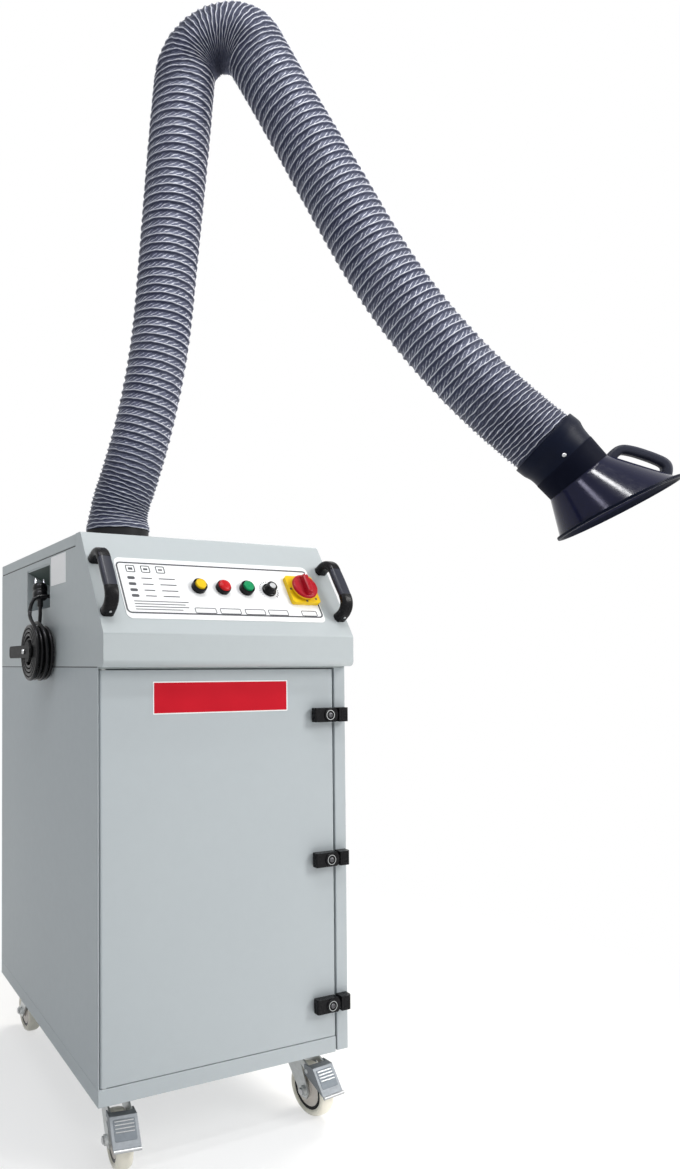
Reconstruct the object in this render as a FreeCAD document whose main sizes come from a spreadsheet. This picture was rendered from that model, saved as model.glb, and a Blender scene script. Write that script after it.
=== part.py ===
import FreeCAD, Part
import math
import os
import re
import Sketcher

# Mobile fume extractor: a cabinet on casters with a filter and a fan inside, a sloping control console,
# a mains cord wound on a hanger, and an extraction arm under a ribbed hose that ends in a hood.
# Origin on the floor under the middle of the cabinet, X to the right, Y to the back, Z up, millimetres.

doc = FreeCAD.newDocument("mobile_fume_extractor")
sheet = doc.addObject("Spreadsheet::Sheet", "Sizes")

cabinet_sizes = {
    "width": "540", "depth": "684", "caster_height": "135", "plinth_height": "31", "panel_height": "742",
    "sheet_wall": "2", "plinth_wall": "3", "plinth_lip": "20", "deck_wall": "3", "side_flange": "18",
    "cut_over": "5", "fit_gap": "0.3", "run_gap": "0.05",
    "strip_width": "26", "strip_clear": "2", "frame_rail": "28",
    "door_gap": "4", "hinge_gap": "2.5", "door_rise": "2", "door_head": "2.5", "door_depth": "20",
    "door_wall": "1.5", "door_lip": "24", "door_corner": "4", "seal_wall": "6", "seal_width": "14",
    "seal_inset": "8",
    "hinge_inset": "8", "hinge_pin_radius": "4", "hinge_pin_length": "26", "hinge_block": "13",
    "hinge_pin_head": "1.6", "hinge_head_radius": "7",
    "slot_length": "170", "slot_height": "8", "slot_pitch": "20", "slot_side": "60", "slot_first": "70",
    "half_width": "=width / 2", "half_depth": "=depth / 2", "inner_half": "=half_width - sheet_wall",
    "plinth_top": "=caster_height + plinth_height", "console_floor": "=plinth_top + panel_height",
    "strip_left": "=half_width - strip_width", "door_right": "=strip_left - door_gap",
    "door_left": "=-inner_half + hinge_gap", "door_bottom": "=plinth_top + door_rise",
    "door_top": "=console_floor - deck_wall - door_head", "door_tall": "=door_top - door_bottom",
    "door_wide": "=door_right - door_left", "door_back": "=-half_depth + door_depth",
    "frame_front": "=door_back + seal_wall + fit_gap",
    "hinge_x": "=door_left + hinge_inset", "hinge_y": "=-half_depth + hinge_inset",
}
console_sizes = {
    "console_height": "256", "slope_back": "91", "fascia_proud": "29", "fascia_height": "60",
    "fascia_round": "12", "fold_round": "6", "crest_round": "5",
    "lid_back": "118", "lid_flange": "23", "lid_gap": "2", "rail_wall": "2", "rail_drop": "8",
    "pocket_front": "280", "pocket_length": "171", "pocket_rise": "125", "pocket_tall": "94",
    "pocket_depth": "88", "pocket_fall": "48",
    "plate_side": "53", "plate_low": "32", "plate_high": "171", "plate_wall": "1", "plate_round": "12",
    "plate_half": "=half_width - plate_side",
    "console_top": "=console_floor + console_height",
    "slope_run": "=slope_back + fascia_proud", "slope_rise": "=console_height - fascia_height",
    "slope_length": "=sqrt(slope_run * slope_run + slope_rise * slope_rise)",
    "slope_angle": "=atan(slope_rise / slope_run)",
    "fascia_y": "=-half_depth - fascia_proud", "fold_z": "=console_floor + fascia_height",
    "crest_y": "=-half_depth + slope_back",
    "slope_shift": "=sheet_wall * slope_length / slope_rise",
    "lid_front": "=-half_depth + lid_back", "lid_floor": "=console_top - lid_flange - lid_gap",
    "lid_depth": "=half_depth - lid_front - lid_gap",
    "pocket_y": "=-half_depth + pocket_front", "pocket_z": "=console_floor + pocket_rise",
}
control_sizes = {
    "control_row": "107", "control_pitch": "53", "switch_inset": "35",
    "bezel_radius": "15", "bezel_bore": "11.5", "bezel_tall": "7",
    "button_radius": "11", "button_tall": "10", "button_travel": "4", "button_round": "1.5",
    "button_foot": "1.2",
    "lamp_radius": "14", "lamp_ring": "4", "lamp_dome": "9",
    "knob_radius": "12", "knob_skirt": "15", "knob_skirt_tall": "4", "knob_tall": "17", "knob_pointer": "3",
    "switch_side": "66", "switch_wall": "9", "switch_round": "6", "switch_neck": "24",
    "switch_neck_tall": "5",
    "dial_radius": "29", "dial_wall": "7", "dial_bar_width": "13", "dial_bar_tall": "14", "dial_round": "2",
    "handle_side": "16", "handle_low": "35", "handle_high": "173", "handle_proud": "47",
    "handle_bar_width": "26",
    "handle_bar_wall": "15", "handle_foot": "20", "handle_slant": "18", "handle_round": "5",
    "handle_seam": "0.6",
    "switch_place": "=plate_half - switch_inset", "handle_x": "=half_width - handle_side",
}
latch_sizes = {
    "latch_inset": "21", "latch_foot": "69", "latch_crown": "91.5", "latch_head": "20", "latch_grip": "34",
    "latch_tall": "28", "latch_wall": "15", "latch_boss": "12", "latch_boss_tall": "3",
    "latch_gap": "2.5", "keeper_wall": "19", "keeper_end": "4", "keeper_round": "7",
    "latch_x": "=door_right - latch_inset",
    "latch_low": "=door_bottom + latch_foot", "latch_pitch": "=(door_tall - latch_foot - latch_crown) / 2",
}
inner_sizes = {
    "duct_radius": "68", "duct_wall": "2", "duct_drop": "24", "flange_radius": "108", "flange_wall": "8",
    "bearing_tall": "38", "bearing_wall": "4",
    "shelf_rise": "310", "shelf_wall": "3", "filter_gap": "12", "filter_head": "119", "filter_frame": "22",
    "pleat_count": "24", "pleat_depth_share": "0.42",
    "prefilter_tall": "24", "prefilter_gap": "16", "mesh_bar": "5", "mesh_count": "9", "rail_reach": "20",
    "scroll_radius": "180", "scroll_tall": "120", "scroll_wall": "2", "scroll_mouth": "96",
    "outlet_half": "90",
    "impeller_radius": "150", "impeller_tall": "74", "impeller_plate": "3", "impeller_eye": "92",
    "blade_wall": "2.5", "blade_count": "12", "blade_root": "96", "blade_sweep": "27", "hub_radius": "24",
    "motor_radius": "72", "motor_tall": "118", "motor_fin": "4", "motor_fin_count": "20",
    "shaft_radius": "10",
    "box_length": "180", "box_depth": "90", "box_tall": "110", "box_side": "150",
    "shelf_top": "=plinth_top + shelf_rise", "box_x": "=half_width - box_side",
    "filter_tall": "=panel_height - deck_wall - shelf_rise - prefilter_gap - prefilter_tall - filter_head",
    "chamber_front": "=frame_front + sheet_wall", "filter_floor": "=shelf_top",
    "filter_top": "=filter_floor + filter_tall", "prefilter_floor": "=filter_top + prefilter_gap",
    "fan_y": "=(chamber_front + half_depth - sheet_wall) / 2",
    "scroll_top": "=shelf_top - shelf_wall", "scroll_floor": "=scroll_top - scroll_tall",
}
caster_sizes = {
    "caster_side": "62", "caster_end": "80", "caster_trail": "38", "front_left_turn": "-8",
    "front_right_turn": "6",
    "plate_long": "104", "plate_short": "84", "caster_plate": "4", "head_radius": "27", "head_tall": "9",
    "crown_wall": "4", "wheel_radius": "50", "wheel_width": "32", "wheel_round": "4", "hub_inset": "3",
    "rim_inset": "9", "leg_wall": "4", "leg_gap": "2", "leg_back": "24", "leg_nose": "14",
    "axle_radius": "6",
    "nut_radius": "9.5", "nut_tall": "6", "hub_face": "15",
    "pedal_width": "46", "pedal_wall": "3", "pedal_top": "104", "pedal_bottom": "62", "pedal_near": "66",
    "pedal_far": "98", "pedal_ear": "12", "pedal_pin": "4", "pedal_pin_y": "50", "pedal_pin_z": "94",
    "caster_x": "=half_width - caster_side", "caster_y": "=half_depth - caster_end",
    "crown_top": "=caster_height - caster_plate - head_tall - fit_gap",
    "crown_floor": "=crown_top - crown_wall", "leg_inner": "=wheel_width / 2 + leg_gap",
}
arm_sizes = {
    "arm_inset": "122", "arm_turn": "-38", "collar_rise": "99", "collar_radius": "79", "collar_wall": "9",
    "hose_radius": "76", "rib_height": "4", "hose_bore": "70",
    "shoulder_bend": "80", "lean_run": "500", "mast_run": "578", "elbow_radius": "95", "boom_run": "560",
    "droop_run": "655", "lean_angle": "20", "mast_angle": "5.5", "boom_angle": "153.5", "hood_angle": "133",
    "soft_shoulder": "190", "soft_elbow": "70", "soft_wrist": "150",
    "tight_pitch": "12", "rib_pitch": "20.5", "wrist_pitch": "16",
    "link_radius": "8.5", "eye_radius": "15", "eye_half": "9", "lug_gap": "0.5", "lug_wall": "6",
    "pin_radius": "6",
    "lug_half": "16", "shoulder_rise": "22", "bridge_tall": "30", "bridge_drop": "6",
    "waist_turn": "141", "mouth_turn": "153.6", "mouth_roll": "3",
    "waist_radius": "70", "mouth_radius": "128",
    "hood_wall": "3",
    "waist_out": "73", "waist_down": "86", "mouth_out": "152", "mouth_down": "162",
    "rim_radius": "133", "rim_tall": "7", "hood_collar_tall": "30", "hood_collar_wall": "9",
    "neck_radius": "74",
    "grip_half": "13",
    "arm_back": "=half_depth - arm_inset", "collar_top": "=console_top + collar_rise",
    "flange_top": "=console_top + flange_wall",
    "bearing_radius": "=duct_radius + fit_gap + bearing_wall",
    "bearing_top": "=flange_top + bearing_tall",
}
cord_sizes = {
    "cord_radius": "4", "coil_radius": "61", "coil_turns": "4", "coil_layers": "4", "coil_step": "8.7",
    "coil_layer": "10.5", "coil_back": "7", "coil_rise": "32", "coil_first": "120", "coil_quarters": "63",
    "hanger_base": "3", "hanger_foot": "30", "hanger_gap": "3", "hanger_wall": "5", "hanger_front": "36",
    "hanger_rear": "120", "hanger_tall": "26", "hanger_round": "9", "hanger_screw": "5",
    "hanger_screw_tall": "2.5",
    "gland_back": "17", "gland_rise": "27", "gland_radius": "7", "gland_flange": "10",
    "gland_flange_tall": "5",
    "gland_nose": "6", "gland_nose_tall": "9", "lead_start": "14", "lead_sag": "4", "lead_out": "30",
    "lead_down": "40",
    "lead_up": "40", "plug_reach": "30",
    "plug_neck": "6.2", "plug_neck_tall": "16", "plug_radius": "16", "plug_tall": "36", "plug_round": "4",
    "prong_radius": "2.4", "prong_tall": "19", "prong_half": "9.5",
    "coil_y": "=pocket_y + coil_back", "coil_z": "=console_floor + coil_rise",
    "hanger_post": "=coil_radius - coil_turns * coil_step - cord_radius - fit_gap",
    "coil_inner_x": "=-half_width - hanger_base - hanger_gap - cord_radius",
    "coil_outer_x": "=coil_inner_x - (coil_layers - 1) * coil_layer",
    "hanger_reach": "=-half_width - coil_outer_x + cord_radius + hanger_gap",
    "gland_wall_x": "=-half_width + pocket_depth - sheet_wall",
    "gland_y": "=pocket_y + gland_back", "gland_z": "=pocket_z + gland_rise",
}

row = 1
for group_sizes in (cabinet_sizes, console_sizes, control_sizes, latch_sizes, inner_sizes, caster_sizes,
                    arm_sizes, cord_sizes):
    for name, text in group_sizes.items():
        sheet.set("A%d" % row, name)
        sheet.set("B%d" % row, text)
        sheet.setAlias("B%d" % row, name)
        row += 1
doc.recompute()


class Sizes:
    def __getattr__(self, name):
        value = sheet.get(name)
        return float(value.Value) if hasattr(value, "Value") else float(value)


size = Sizes()
nodes = []
axis_x = FreeCAD.Vector(1, 0, 0)
axis_y = FreeCAD.Vector(0, 1, 0)
axis_z = FreeCAD.Vector(0, 0, 1)
tiny = 1e-6


def bound(text):
    # Names in a text of sums become cells of the sheet.
    return re.sub(r"[A-Za-z_]\w*", lambda found: "Sizes." + found.group(0), text)


def put(obj, at):
    for axis, text in zip("xyz", at):
        if text != "0":
            obj.setExpression("Placement.Base." + axis, bound(text))


def box(name, sides, at):
    obj = doc.addObject("Part::Box", name)
    for side, text in zip(("Length", "Width", "Height"), sides):
        obj.setExpression(side, bound(text))
    put(obj, at)
    return obj


def cylinder(name, radius, tall, at, axis="z"):
    obj = doc.addObject("Part::Cylinder", name)
    obj.setExpression("Radius", bound(radius))
    obj.setExpression("Height", bound(tall))
    if axis == "x":
        obj.Placement = FreeCAD.Placement(FreeCAD.Vector(), FreeCAD.Rotation(axis_y, 90))
    if axis == "y":
        obj.Placement = FreeCAD.Placement(FreeCAD.Vector(), FreeCAD.Rotation(axis_x, -90))
    put(obj, at)
    return obj


def fused(name, pieces):
    obj = doc.addObject("Part::MultiFuse", name)
    obj.Shapes = pieces
    return obj


def grouped(name, pieces):
    obj = doc.addObject("Part::Compound", name)
    obj.Links = pieces
    return obj


def cut(name, base, tools):
    obj = doc.addObject("Part::Cut", name)
    obj.Base = base
    obj.Tool = tools[0] if len(tools) == 1 else fused(name + "_cuts", tools)
    return obj


def common(name, base, tool):
    obj = doc.addObject("Part::Common", name)
    obj.Base = base
    obj.Tool = tool
    return obj


def rounded(name, base, radius, chosen):
    doc.recompute()
    obj = doc.addObject("Part::Fillet", name)
    obj.Base = base
    obj.Edges = [(i + 1, radius, radius) for i, edge in enumerate(base.Shape.Edges) if chosen(edge)]
    return obj


def along(edge, axis):
    # True for a straight edge that runs along the axis.
    ends = edge.Vertexes
    if len(ends) != 2 or edge.Curve.TypeId != "Part::GeomLine":
        return False
    return abs(abs((ends[1].Point - ends[0].Point).normalize() * axis) - 1) < tiny


def sketch_on(body, role, points):
    # A closed outline whose corners are held at the given sums of sizes.
    outline = body.newObject("Sketcher::SketchObject", body.Name + "_outline")
    plane = [feature for feature in body.Origin.OriginFeatures if feature.Role == role][0]
    outline.AttachmentSupport = [(plane, "")]
    outline.MapMode = "FlatFace"
    probe = doc.addObject("Part::Vertex", body.Name + "_probe")
    corners = []
    for across, up in points:
        probe.setExpression("X", bound(across))
        probe.setExpression("Y", bound(up))
        probe.recompute()
        corners.append(FreeCAD.Vector(probe.X.Value, probe.Y.Value, 0))
    doc.removeObject(probe.Name)
    count = len(corners)
    for i in range(count):
        outline.addGeometry(Part.LineSegment(corners[i], corners[(i + 1) % count]), False)
    for i in range(count):
        outline.addConstraint(Sketcher.Constraint("Coincident", i, 2, (i + 1) % count, 1))
    for i, (across, up) in enumerate(points):
        for kind, text, value, axis in (("DistanceX", across, corners[i].x, -2),
                                        ("DistanceY", up, corners[i].y, -1)):
            if text == "0":
                outline.addConstraint(Sketcher.Constraint("PointOnObject", i, 1, axis))
                continue
            index = outline.addConstraint(Sketcher.Constraint(kind, -1, 1, i, 1, value))
            outline.setExpression("Constraints[%d]" % index, bound(text))
    return outline


def prism(name, role, points, length):
    # An outline padded to both sides of its plane.
    body = doc.addObject("PartDesign::Body", name)
    pad = body.newObject("PartDesign::Pad", name + "_pad")
    pad.Profile = sketch_on(body, role, points)
    pad.setExpression("Length", bound(length))
    pad.Midplane = True
    body.Tip = pad
    return body


def turned(name, points):
    # An outline of (radius, height) corners turned about the upright axis.
    body = doc.addObject("PartDesign::Body", name)
    outline = sketch_on(body, "XZ_Plane", points)
    turn = body.newObject("PartDesign::Revolution", name + "_turn")
    turn.Profile = outline
    turn.ReferenceAxis = (outline, ["V_Axis"])
    turn.Angle = 360
    body.Tip = turn
    return body


def solid(name, shape):
    obj = doc.addObject("Part::Feature", name)
    obj.Shape = shape
    return obj


def node(label, obj, place=None):
    obj.Label = label
    if place is not None:
        obj.Placement = place.multiply(obj.Placement)
    nodes.append(obj)
    return obj


def moved(x, y, z, axis=axis_z, angle=0.0):
    return FreeCAD.Placement(FreeCAD.Vector(x, y, z), FreeCAD.Rotation(axis, angle))


# Cabinet: plinth, panels, frame and deck

plinth_block = box("plinth_block", ("width - sheet_wall", "depth", "plinth_height"),
                   ("-half_width", "-half_depth", "caster_height"))
plinth_hollow = box("plinth_hollow", ("width - sheet_wall - 2 * plinth_wall", "depth - 2 * plinth_wall",
                                      "plinth_height - 2 * plinth_wall"),
                    ("-half_width + plinth_wall", "-half_depth + plinth_wall", "caster_height + plinth_wall"))
plinth_mouth = box("plinth_mouth", ("width - sheet_wall - 2 * plinth_lip", "depth - 2 * plinth_lip",
                                    "plinth_height"),
                   ("-half_width + plinth_lip", "-half_depth + plinth_lip", "caster_height + plinth_wall"))
plinth_notch = box("plinth_notch", ("strip_width + door_gap + cut_over", "door_depth + cut_over",
                                    "plinth_height + 2 * cut_over"),
                   ("door_right", "-half_depth - cut_over", "caster_height - cut_over"))
node("base_plinth", cut("base_plinth", plinth_block, [plinth_hollow, plinth_mouth, plinth_notch]))

left_sheet = box("left_sheet", ("sheet_wall", "depth", "panel_height"),
                 ("-half_width", "-half_depth", "plinth_top"))
left_flange = box("left_flange", ("side_flange", "sheet_wall", "panel_height - deck_wall"),
                  ("-half_width", "half_depth - 2 * sheet_wall", "plinth_top"))
node("left_side_panel", fused("left_side_panel", [left_sheet, left_flange]))

right_sheet = box("right_sheet", ("sheet_wall", "depth", "panel_height + plinth_height - strip_clear"),
                  ("inner_half", "-half_depth", "caster_height + strip_clear"))
strip_tall = "panel_height + plinth_height - strip_clear - deck_wall"
right_strip = box("right_strip", ("strip_width", "sheet_wall", strip_tall),
                  ("strip_left", "-half_depth", "caster_height + strip_clear"))
right_return = box("right_return", ("sheet_wall", "door_depth", strip_tall),
                   ("strip_left", "-half_depth", "caster_height + strip_clear"))
right_flange = box("right_flange", ("side_flange", "sheet_wall", "panel_height - deck_wall"),
                   ("half_width - side_flange", "half_depth - 2 * sheet_wall", "plinth_top"))
node("right_side_panel", fused("right_side_panel", [right_sheet, right_strip, right_return, right_flange]))

frame_sheet = box("frame_sheet", ("2 * inner_half", "sheet_wall", "panel_height - deck_wall"),
                  ("-inner_half", "frame_front", "plinth_top"))
frame_window = box("frame_window", ("2 * inner_half - 2 * frame_rail", "sheet_wall + 2 * cut_over",
                                    "panel_height - deck_wall - 2 * frame_rail"),
                   ("-inner_half + frame_rail", "frame_front - cut_over", "plinth_top + frame_rail"))
node("front_frame", cut("front_frame", frame_sheet, [frame_window]))

back_sheet = box("back_sheet", ("2 * inner_half", "sheet_wall", "panel_height"),
                 ("-inner_half", "half_depth - sheet_wall", "plinth_top"))
exhaust_slots = []
slot_rows = 9
for column, slot_x in enumerate(("-slot_side - slot_length", "slot_side")):
    for line in range(slot_rows):
        exhaust_slots.append(box("exhaust_slot_%d_%d" % (column, line),
                                 ("slot_length", "sheet_wall + 2 * cut_over", "slot_height"),
                                 (slot_x, "half_depth - sheet_wall - cut_over",
                                  "plinth_top + slot_first + %d * slot_pitch" % line)))
node("back_panel", cut("back_panel", back_sheet, exhaust_slots))

deck_sheet = box("deck_sheet", ("2 * inner_half", "depth - sheet_wall", "deck_wall"),
                 ("-inner_half", "-half_depth", "console_floor - deck_wall"))
deck_hole = cylinder("deck_hole", "duct_radius + fit_gap", "deck_wall + 2 * cut_over",
                     ("0", "arm_back", "console_floor - deck_wall - cut_over"))
node("deck_plate", cut("deck_plate", deck_sheet, [deck_hole]))

# Door with its hinge blocks, seal and pins

door_block = box("door_block", ("door_wide", "door_depth", "door_tall"),
                 ("door_left", "-half_depth", "door_bottom"))
door_round = rounded("door_round", door_block, size.door_corner,
                     lambda edge: along(edge, axis_z) and edge.CenterOfMass.y < 0
                     and edge.BoundBox.YMin < -size.half_depth
                     + size.door_wall)
door_hollow = box("door_hollow",
                  ("door_wide - 2 * door_wall", "door_depth - 2 * door_wall", "door_tall - 2 * door_wall"),
                  ("door_left + door_wall", "-half_depth + door_wall", "door_bottom + door_wall"))
door_mouth = box("door_mouth", ("door_wide - 2 * door_lip", "door_depth", "door_tall - 2 * door_lip"),
                 ("door_left + door_lip", "-half_depth + door_wall", "door_bottom + door_lip"))
door_pan = cut("door_pan", door_round, [door_hollow, door_mouth])
door_blocks = []
pin_holes = []
pins = []
for end, block_z, hole_z, pin_z, head_z in (
        ("lower", "door_bottom + door_wall", "door_bottom - cut_over", "plinth_top", "plinth_top"),
        ("upper", "door_top - door_wall - hinge_pin_length", "door_top - hinge_pin_length",
         "console_floor - deck_wall - hinge_pin_length", "console_floor - deck_wall - hinge_pin_head")):
    door_blocks.append(box("hinge_block_" + end, ("hinge_block", "hinge_block", "hinge_pin_length"),
                           ("door_left + door_wall", "-half_depth + door_wall", block_z)))
    pin_holes.append(cylinder("hinge_hole_" + end, "hinge_pin_radius + run_gap",
                              "hinge_pin_length + cut_over",
                              ("hinge_x", "hinge_y", hole_z)))
    shank = cylinder("hinge_shank_" + end, "hinge_pin_radius", "hinge_pin_length",
                     ("hinge_x", "hinge_y", pin_z))
    head = cylinder("hinge_head_" + end, "hinge_head_radius", "hinge_pin_head",
                    ("hinge_x", "hinge_y", head_z))
    pins.append(fused("hinge_pin_" + end, [shank, head]))
node("door_panel", cut("door_panel", fused("door_joined", [door_pan] + door_blocks), pin_holes))
node("hinge_pins", grouped("hinge_pins", pins))

seal_block = box("seal_block", ("door_wide - 2 * seal_inset", "seal_wall", "door_tall - 2 * seal_inset"),
                 ("door_left + seal_inset", "door_back", "door_bottom + seal_inset"))
seal_window = box("seal_window", ("door_wide - 2 * seal_inset - 2 * seal_width", "seal_wall + 2 * cut_over",
                                  "door_tall - 2 * seal_inset - 2 * seal_width"),
                  ("door_left + seal_inset + seal_width", "door_back - cut_over",
                   "door_bottom + seal_inset + seal_width"))
node("door_seal", cut("door_seal", seal_block, [seal_window]))

# Latches: a lever on the door and a keeper on the strip, three times

keepers = []
for level, name in enumerate(("bottom", "middle", "top")):
    height = "latch_low + %d * latch_pitch" % level
    head = cylinder("latch_head_" + name, "latch_head", "latch_wall",
                    ("0", "-latch_wall - latch_boss_tall", "0"), "y")
    grip = box("latch_grip_" + name, ("latch_grip", "latch_wall", "latch_tall"),
               ("-latch_grip", "-latch_wall - latch_boss_tall", "-latch_tall / 2"))
    boss = cylinder("latch_boss_" + name, "latch_boss", "latch_boss_tall - fit_gap",
                    ("0", "-latch_boss_tall", "0"), "y")
    trim = box("latch_trim_" + name,
               ("latch_grip + latch_head + cut_over", "latch_wall + latch_boss_tall + cut_over",
                                      "latch_tall"),
               ("-latch_grip", "-latch_wall - latch_boss_tall", "-latch_tall / 2"))
    lever = common("latch_body_" + name, fused("latch_joined_" + name, [head, grip, boss]), trim)
    lever = rounded("latch_lever_" + name, lever, size.cut_over / 2,
                    lambda edge: along(edge, axis_z) and edge.CenterOfMass.x < -size.latch_head)
    doc.recompute()
    node("latch_lever_" + name, lever)
    put(lever, ("latch_x", "-half_depth", height))
    keeper = box("keeper_block_" + name,
                 ("strip_left + strip_width - keeper_end - latch_x - latch_head - latch_gap",
                                          "keeper_wall", "latch_tall"),
                 ("latch_x + latch_head + latch_gap", "-half_depth - keeper_wall",
                  height + " - latch_tall / 2"))
    keepers.append(rounded("keeper_" + name, keeper, size.keeper_round,
                           lambda edge: along(edge, axis_z) and edge.CenterOfMass.x > size.strip_left
                           and edge.CenterOfMass.y < -size.half_depth - size.keeper_round))
node("latch_keepers", grouped("latch_keepers", keepers))

# Console shell with its cord pocket, and the top cover

outer_outline = [("half_depth", "console_floor"), ("half_depth", "console_top"), ("crest_y", "console_top"),
                 ("fascia_y", "fold_z"), ("fascia_y", "console_floor")]
inner_outline = [("half_depth - sheet_wall", "console_floor + sheet_wall"),
                 ("half_depth - sheet_wall", "console_top - sheet_wall"),
                 ("crest_y + slope_shift - sheet_wall * slope_run / slope_rise", "console_top - sheet_wall"),
                 ("fascia_y + sheet_wall", "fold_z + (sheet_wall - slope_shift) * slope_rise / slope_run"),
                 ("fascia_y + sheet_wall", "console_floor + sheet_wall")]
console_outer = prism("console_outer", "YZ_Plane", outer_outline, "width")
console_inner = prism("console_inner", "YZ_Plane", inner_outline, "width - 2 * sheet_wall")


def front_edge(y, z):
    return lambda edge: along(edge, axis_x) and abs(edge.CenterOfMass.y - y) + abs(edge.CenterOfMass.z
                                                                                   - z) < size.fit_gap


console_low = rounded("console_low", console_outer, size.fascia_round,
                      front_edge(size.fascia_y, size.console_floor))
console_fold = rounded("console_fold", console_low, size.fold_round, front_edge(size.fascia_y, size.fold_z))
console_crest = rounded("console_crest", console_fold, size.crest_round,
                        front_edge(size.crest_y, size.console_top))
console_room = rounded("console_room", console_inner, size.fascia_round - size.sheet_wall,
                       front_edge(size.fascia_y + size.sheet_wall, size.console_floor + size.sheet_wall))
lid_room = box("lid_room", ("width + 2 * cut_over", "half_depth - lid_front + cut_over",
                            "lid_flange + lid_gap + cut_over"),
               ("-half_width - cut_over", "lid_front", "lid_floor"))
pocket_window = box("pocket_window", ("sheet_wall + 2 * cut_over", "pocket_length", "pocket_tall"),
                    ("-half_width - cut_over", "pocket_y", "pocket_z"))
console_hole = cylinder("console_hole", "duct_radius + fit_gap", "sheet_wall + 2 * cut_over",
                        ("0", "arm_back", "console_floor - cut_over"))
console_cut = cut("console_cut", console_crest, [console_room, lid_room, pocket_window, console_hole])
rail_length = "lid_depth - 2 * sheet_wall - 2 * fit_gap"
rail_start = "lid_front + lid_gap + sheet_wall + fit_gap"
rail_tall = "rail_drop + lid_flange + lid_gap - sheet_wall"
rail_left = box("rail_left", ("rail_wall", rail_length, rail_tall),
                ("-inner_half", rail_start, "lid_floor - rail_drop"))
rail_right = box("rail_right", ("rail_wall", rail_length, rail_tall),
                 ("inner_half - rail_wall", rail_start, "lid_floor - rail_drop"))
pocket_outer = prism("pocket_outer", "XZ_Plane", [
    ("-inner_half", "pocket_z - sheet_wall"), ("-half_width + pocket_depth", "pocket_z - sheet_wall"),
    ("-half_width + pocket_depth", "pocket_z + pocket_tall + sheet_wall - pocket_fall"),
    ("-inner_half", "pocket_z + pocket_tall + sheet_wall")], "pocket_length + 2 * sheet_wall")
pocket_inner = prism("pocket_inner", "XZ_Plane", [
    ("-half_width - cut_over", "pocket_z"), ("-half_width + pocket_depth - sheet_wall", "pocket_z"),
    ("-half_width + pocket_depth - sheet_wall", "pocket_z + pocket_tall - pocket_fall"),
    ("-half_width - cut_over", "pocket_z + pocket_tall")], "pocket_length")
for half in (pocket_outer, pocket_inner):
    put(half, ("0", "pocket_y + pocket_length / 2", "0"))
pocket_hole = cylinder("pocket_hole", "gland_radius + run_gap", "sheet_wall + 2 * cut_over",
                       ("gland_wall_x - cut_over", "gland_y", "gland_z"), "x")
pocket_shell = cut("pocket_shell", pocket_outer, [pocket_inner, pocket_hole])
node("console_shell", fused("console_shell", [console_cut, rail_left, rail_right, pocket_shell]))

lid_block = box("lid_block", ("width", "lid_depth", "lid_flange"),
                ("-half_width", "lid_front + lid_gap", "console_top - lid_flange"))
lid_hollow = box("lid_hollow",
                 ("width - 2 * sheet_wall", "lid_depth - 2 * sheet_wall",
                  "lid_flange - sheet_wall + cut_over"),
                 ("-inner_half", "lid_front + lid_gap + sheet_wall", "console_top - lid_flange - cut_over"))
lid_hole = cylinder("lid_hole", "duct_radius + fit_gap", "sheet_wall + 2 * cut_over",
                    ("0", "arm_back", "console_top - sheet_wall - cut_over"))
node("top_cover", cut("top_cover", lid_block, [lid_hollow, lid_hole]))

# Controls, in the frame of the slope: X across, Y up the slope from the fold, Z out of it

slope_place = moved(0, size.fascia_y, size.fold_z, axis_x, size.slope_angle)


def on_slope(x, up, out=0.0):
    return slope_place.multiply(moved(x, up, out))


plate_block = box("plate_block", ("2 * plate_half", "plate_high - plate_low", "plate_wall"),
                  ("-plate_half", "plate_low", "0"))
control_plate = rounded("control_plate", plate_block, size.plate_round, lambda edge: along(edge, axis_z))
doc.recompute()
node("control_plate", control_plate, slope_place)

bezels = []
for name, place in (("yellow", "-control_pitch"), ("green", "control_pitch")):
    ring = cylinder("bezel_ring_" + name, "bezel_radius", "bezel_tall", (place, "control_row", "plate_wall"))
    bore = cylinder("bezel_bore_" + name, "bezel_bore", "bezel_tall",
                    (place, "control_row", "plate_wall + button_foot"))
    bezels.append(cut("bezel_" + name, ring, [bore]))
    cap = cylinder(name + "_cap", "button_radius", "button_tall", ("0", "0", "0"))
    cap_round = rounded(name + "_button", cap, size.button_round,
                        lambda edge: edge.BoundBox.ZMin > size.button_tall / 2)
    doc.recompute()
    side = -1 if name == "yellow" else 1
    button_out = size.plate_wall + size.button_foot + size.button_travel + size.fit_gap
    node(name + "_button", cap_round, on_slope(side * size.control_pitch, size.control_row, button_out))
button_bezels = grouped("button_bezels", bezels)
node("button_bezels", button_bezels, slope_place)

lamp_ring = cylinder("lamp_base", "lamp_radius", "lamp_ring", ("0", "0", "0"))
lamp_ball = doc.addObject("Part::Ellipsoid", "lamp_ball")
lamp_ball.setExpression("Radius1", bound("lamp_dome"))
lamp_ball.setExpression("Radius2", bound("lamp_radius - button_round"))
lamp_ball.setExpression("Radius3", bound("lamp_radius - button_round"))
lamp_ball.Angle1 = 0
put(lamp_ball, ("0", "0", "lamp_ring"))
pilot_lamp = fused("pilot_lamp", [lamp_ring, lamp_ball])
doc.recompute()
node("pilot_lamp", pilot_lamp, on_slope(0, size.control_row, size.plate_wall))

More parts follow.
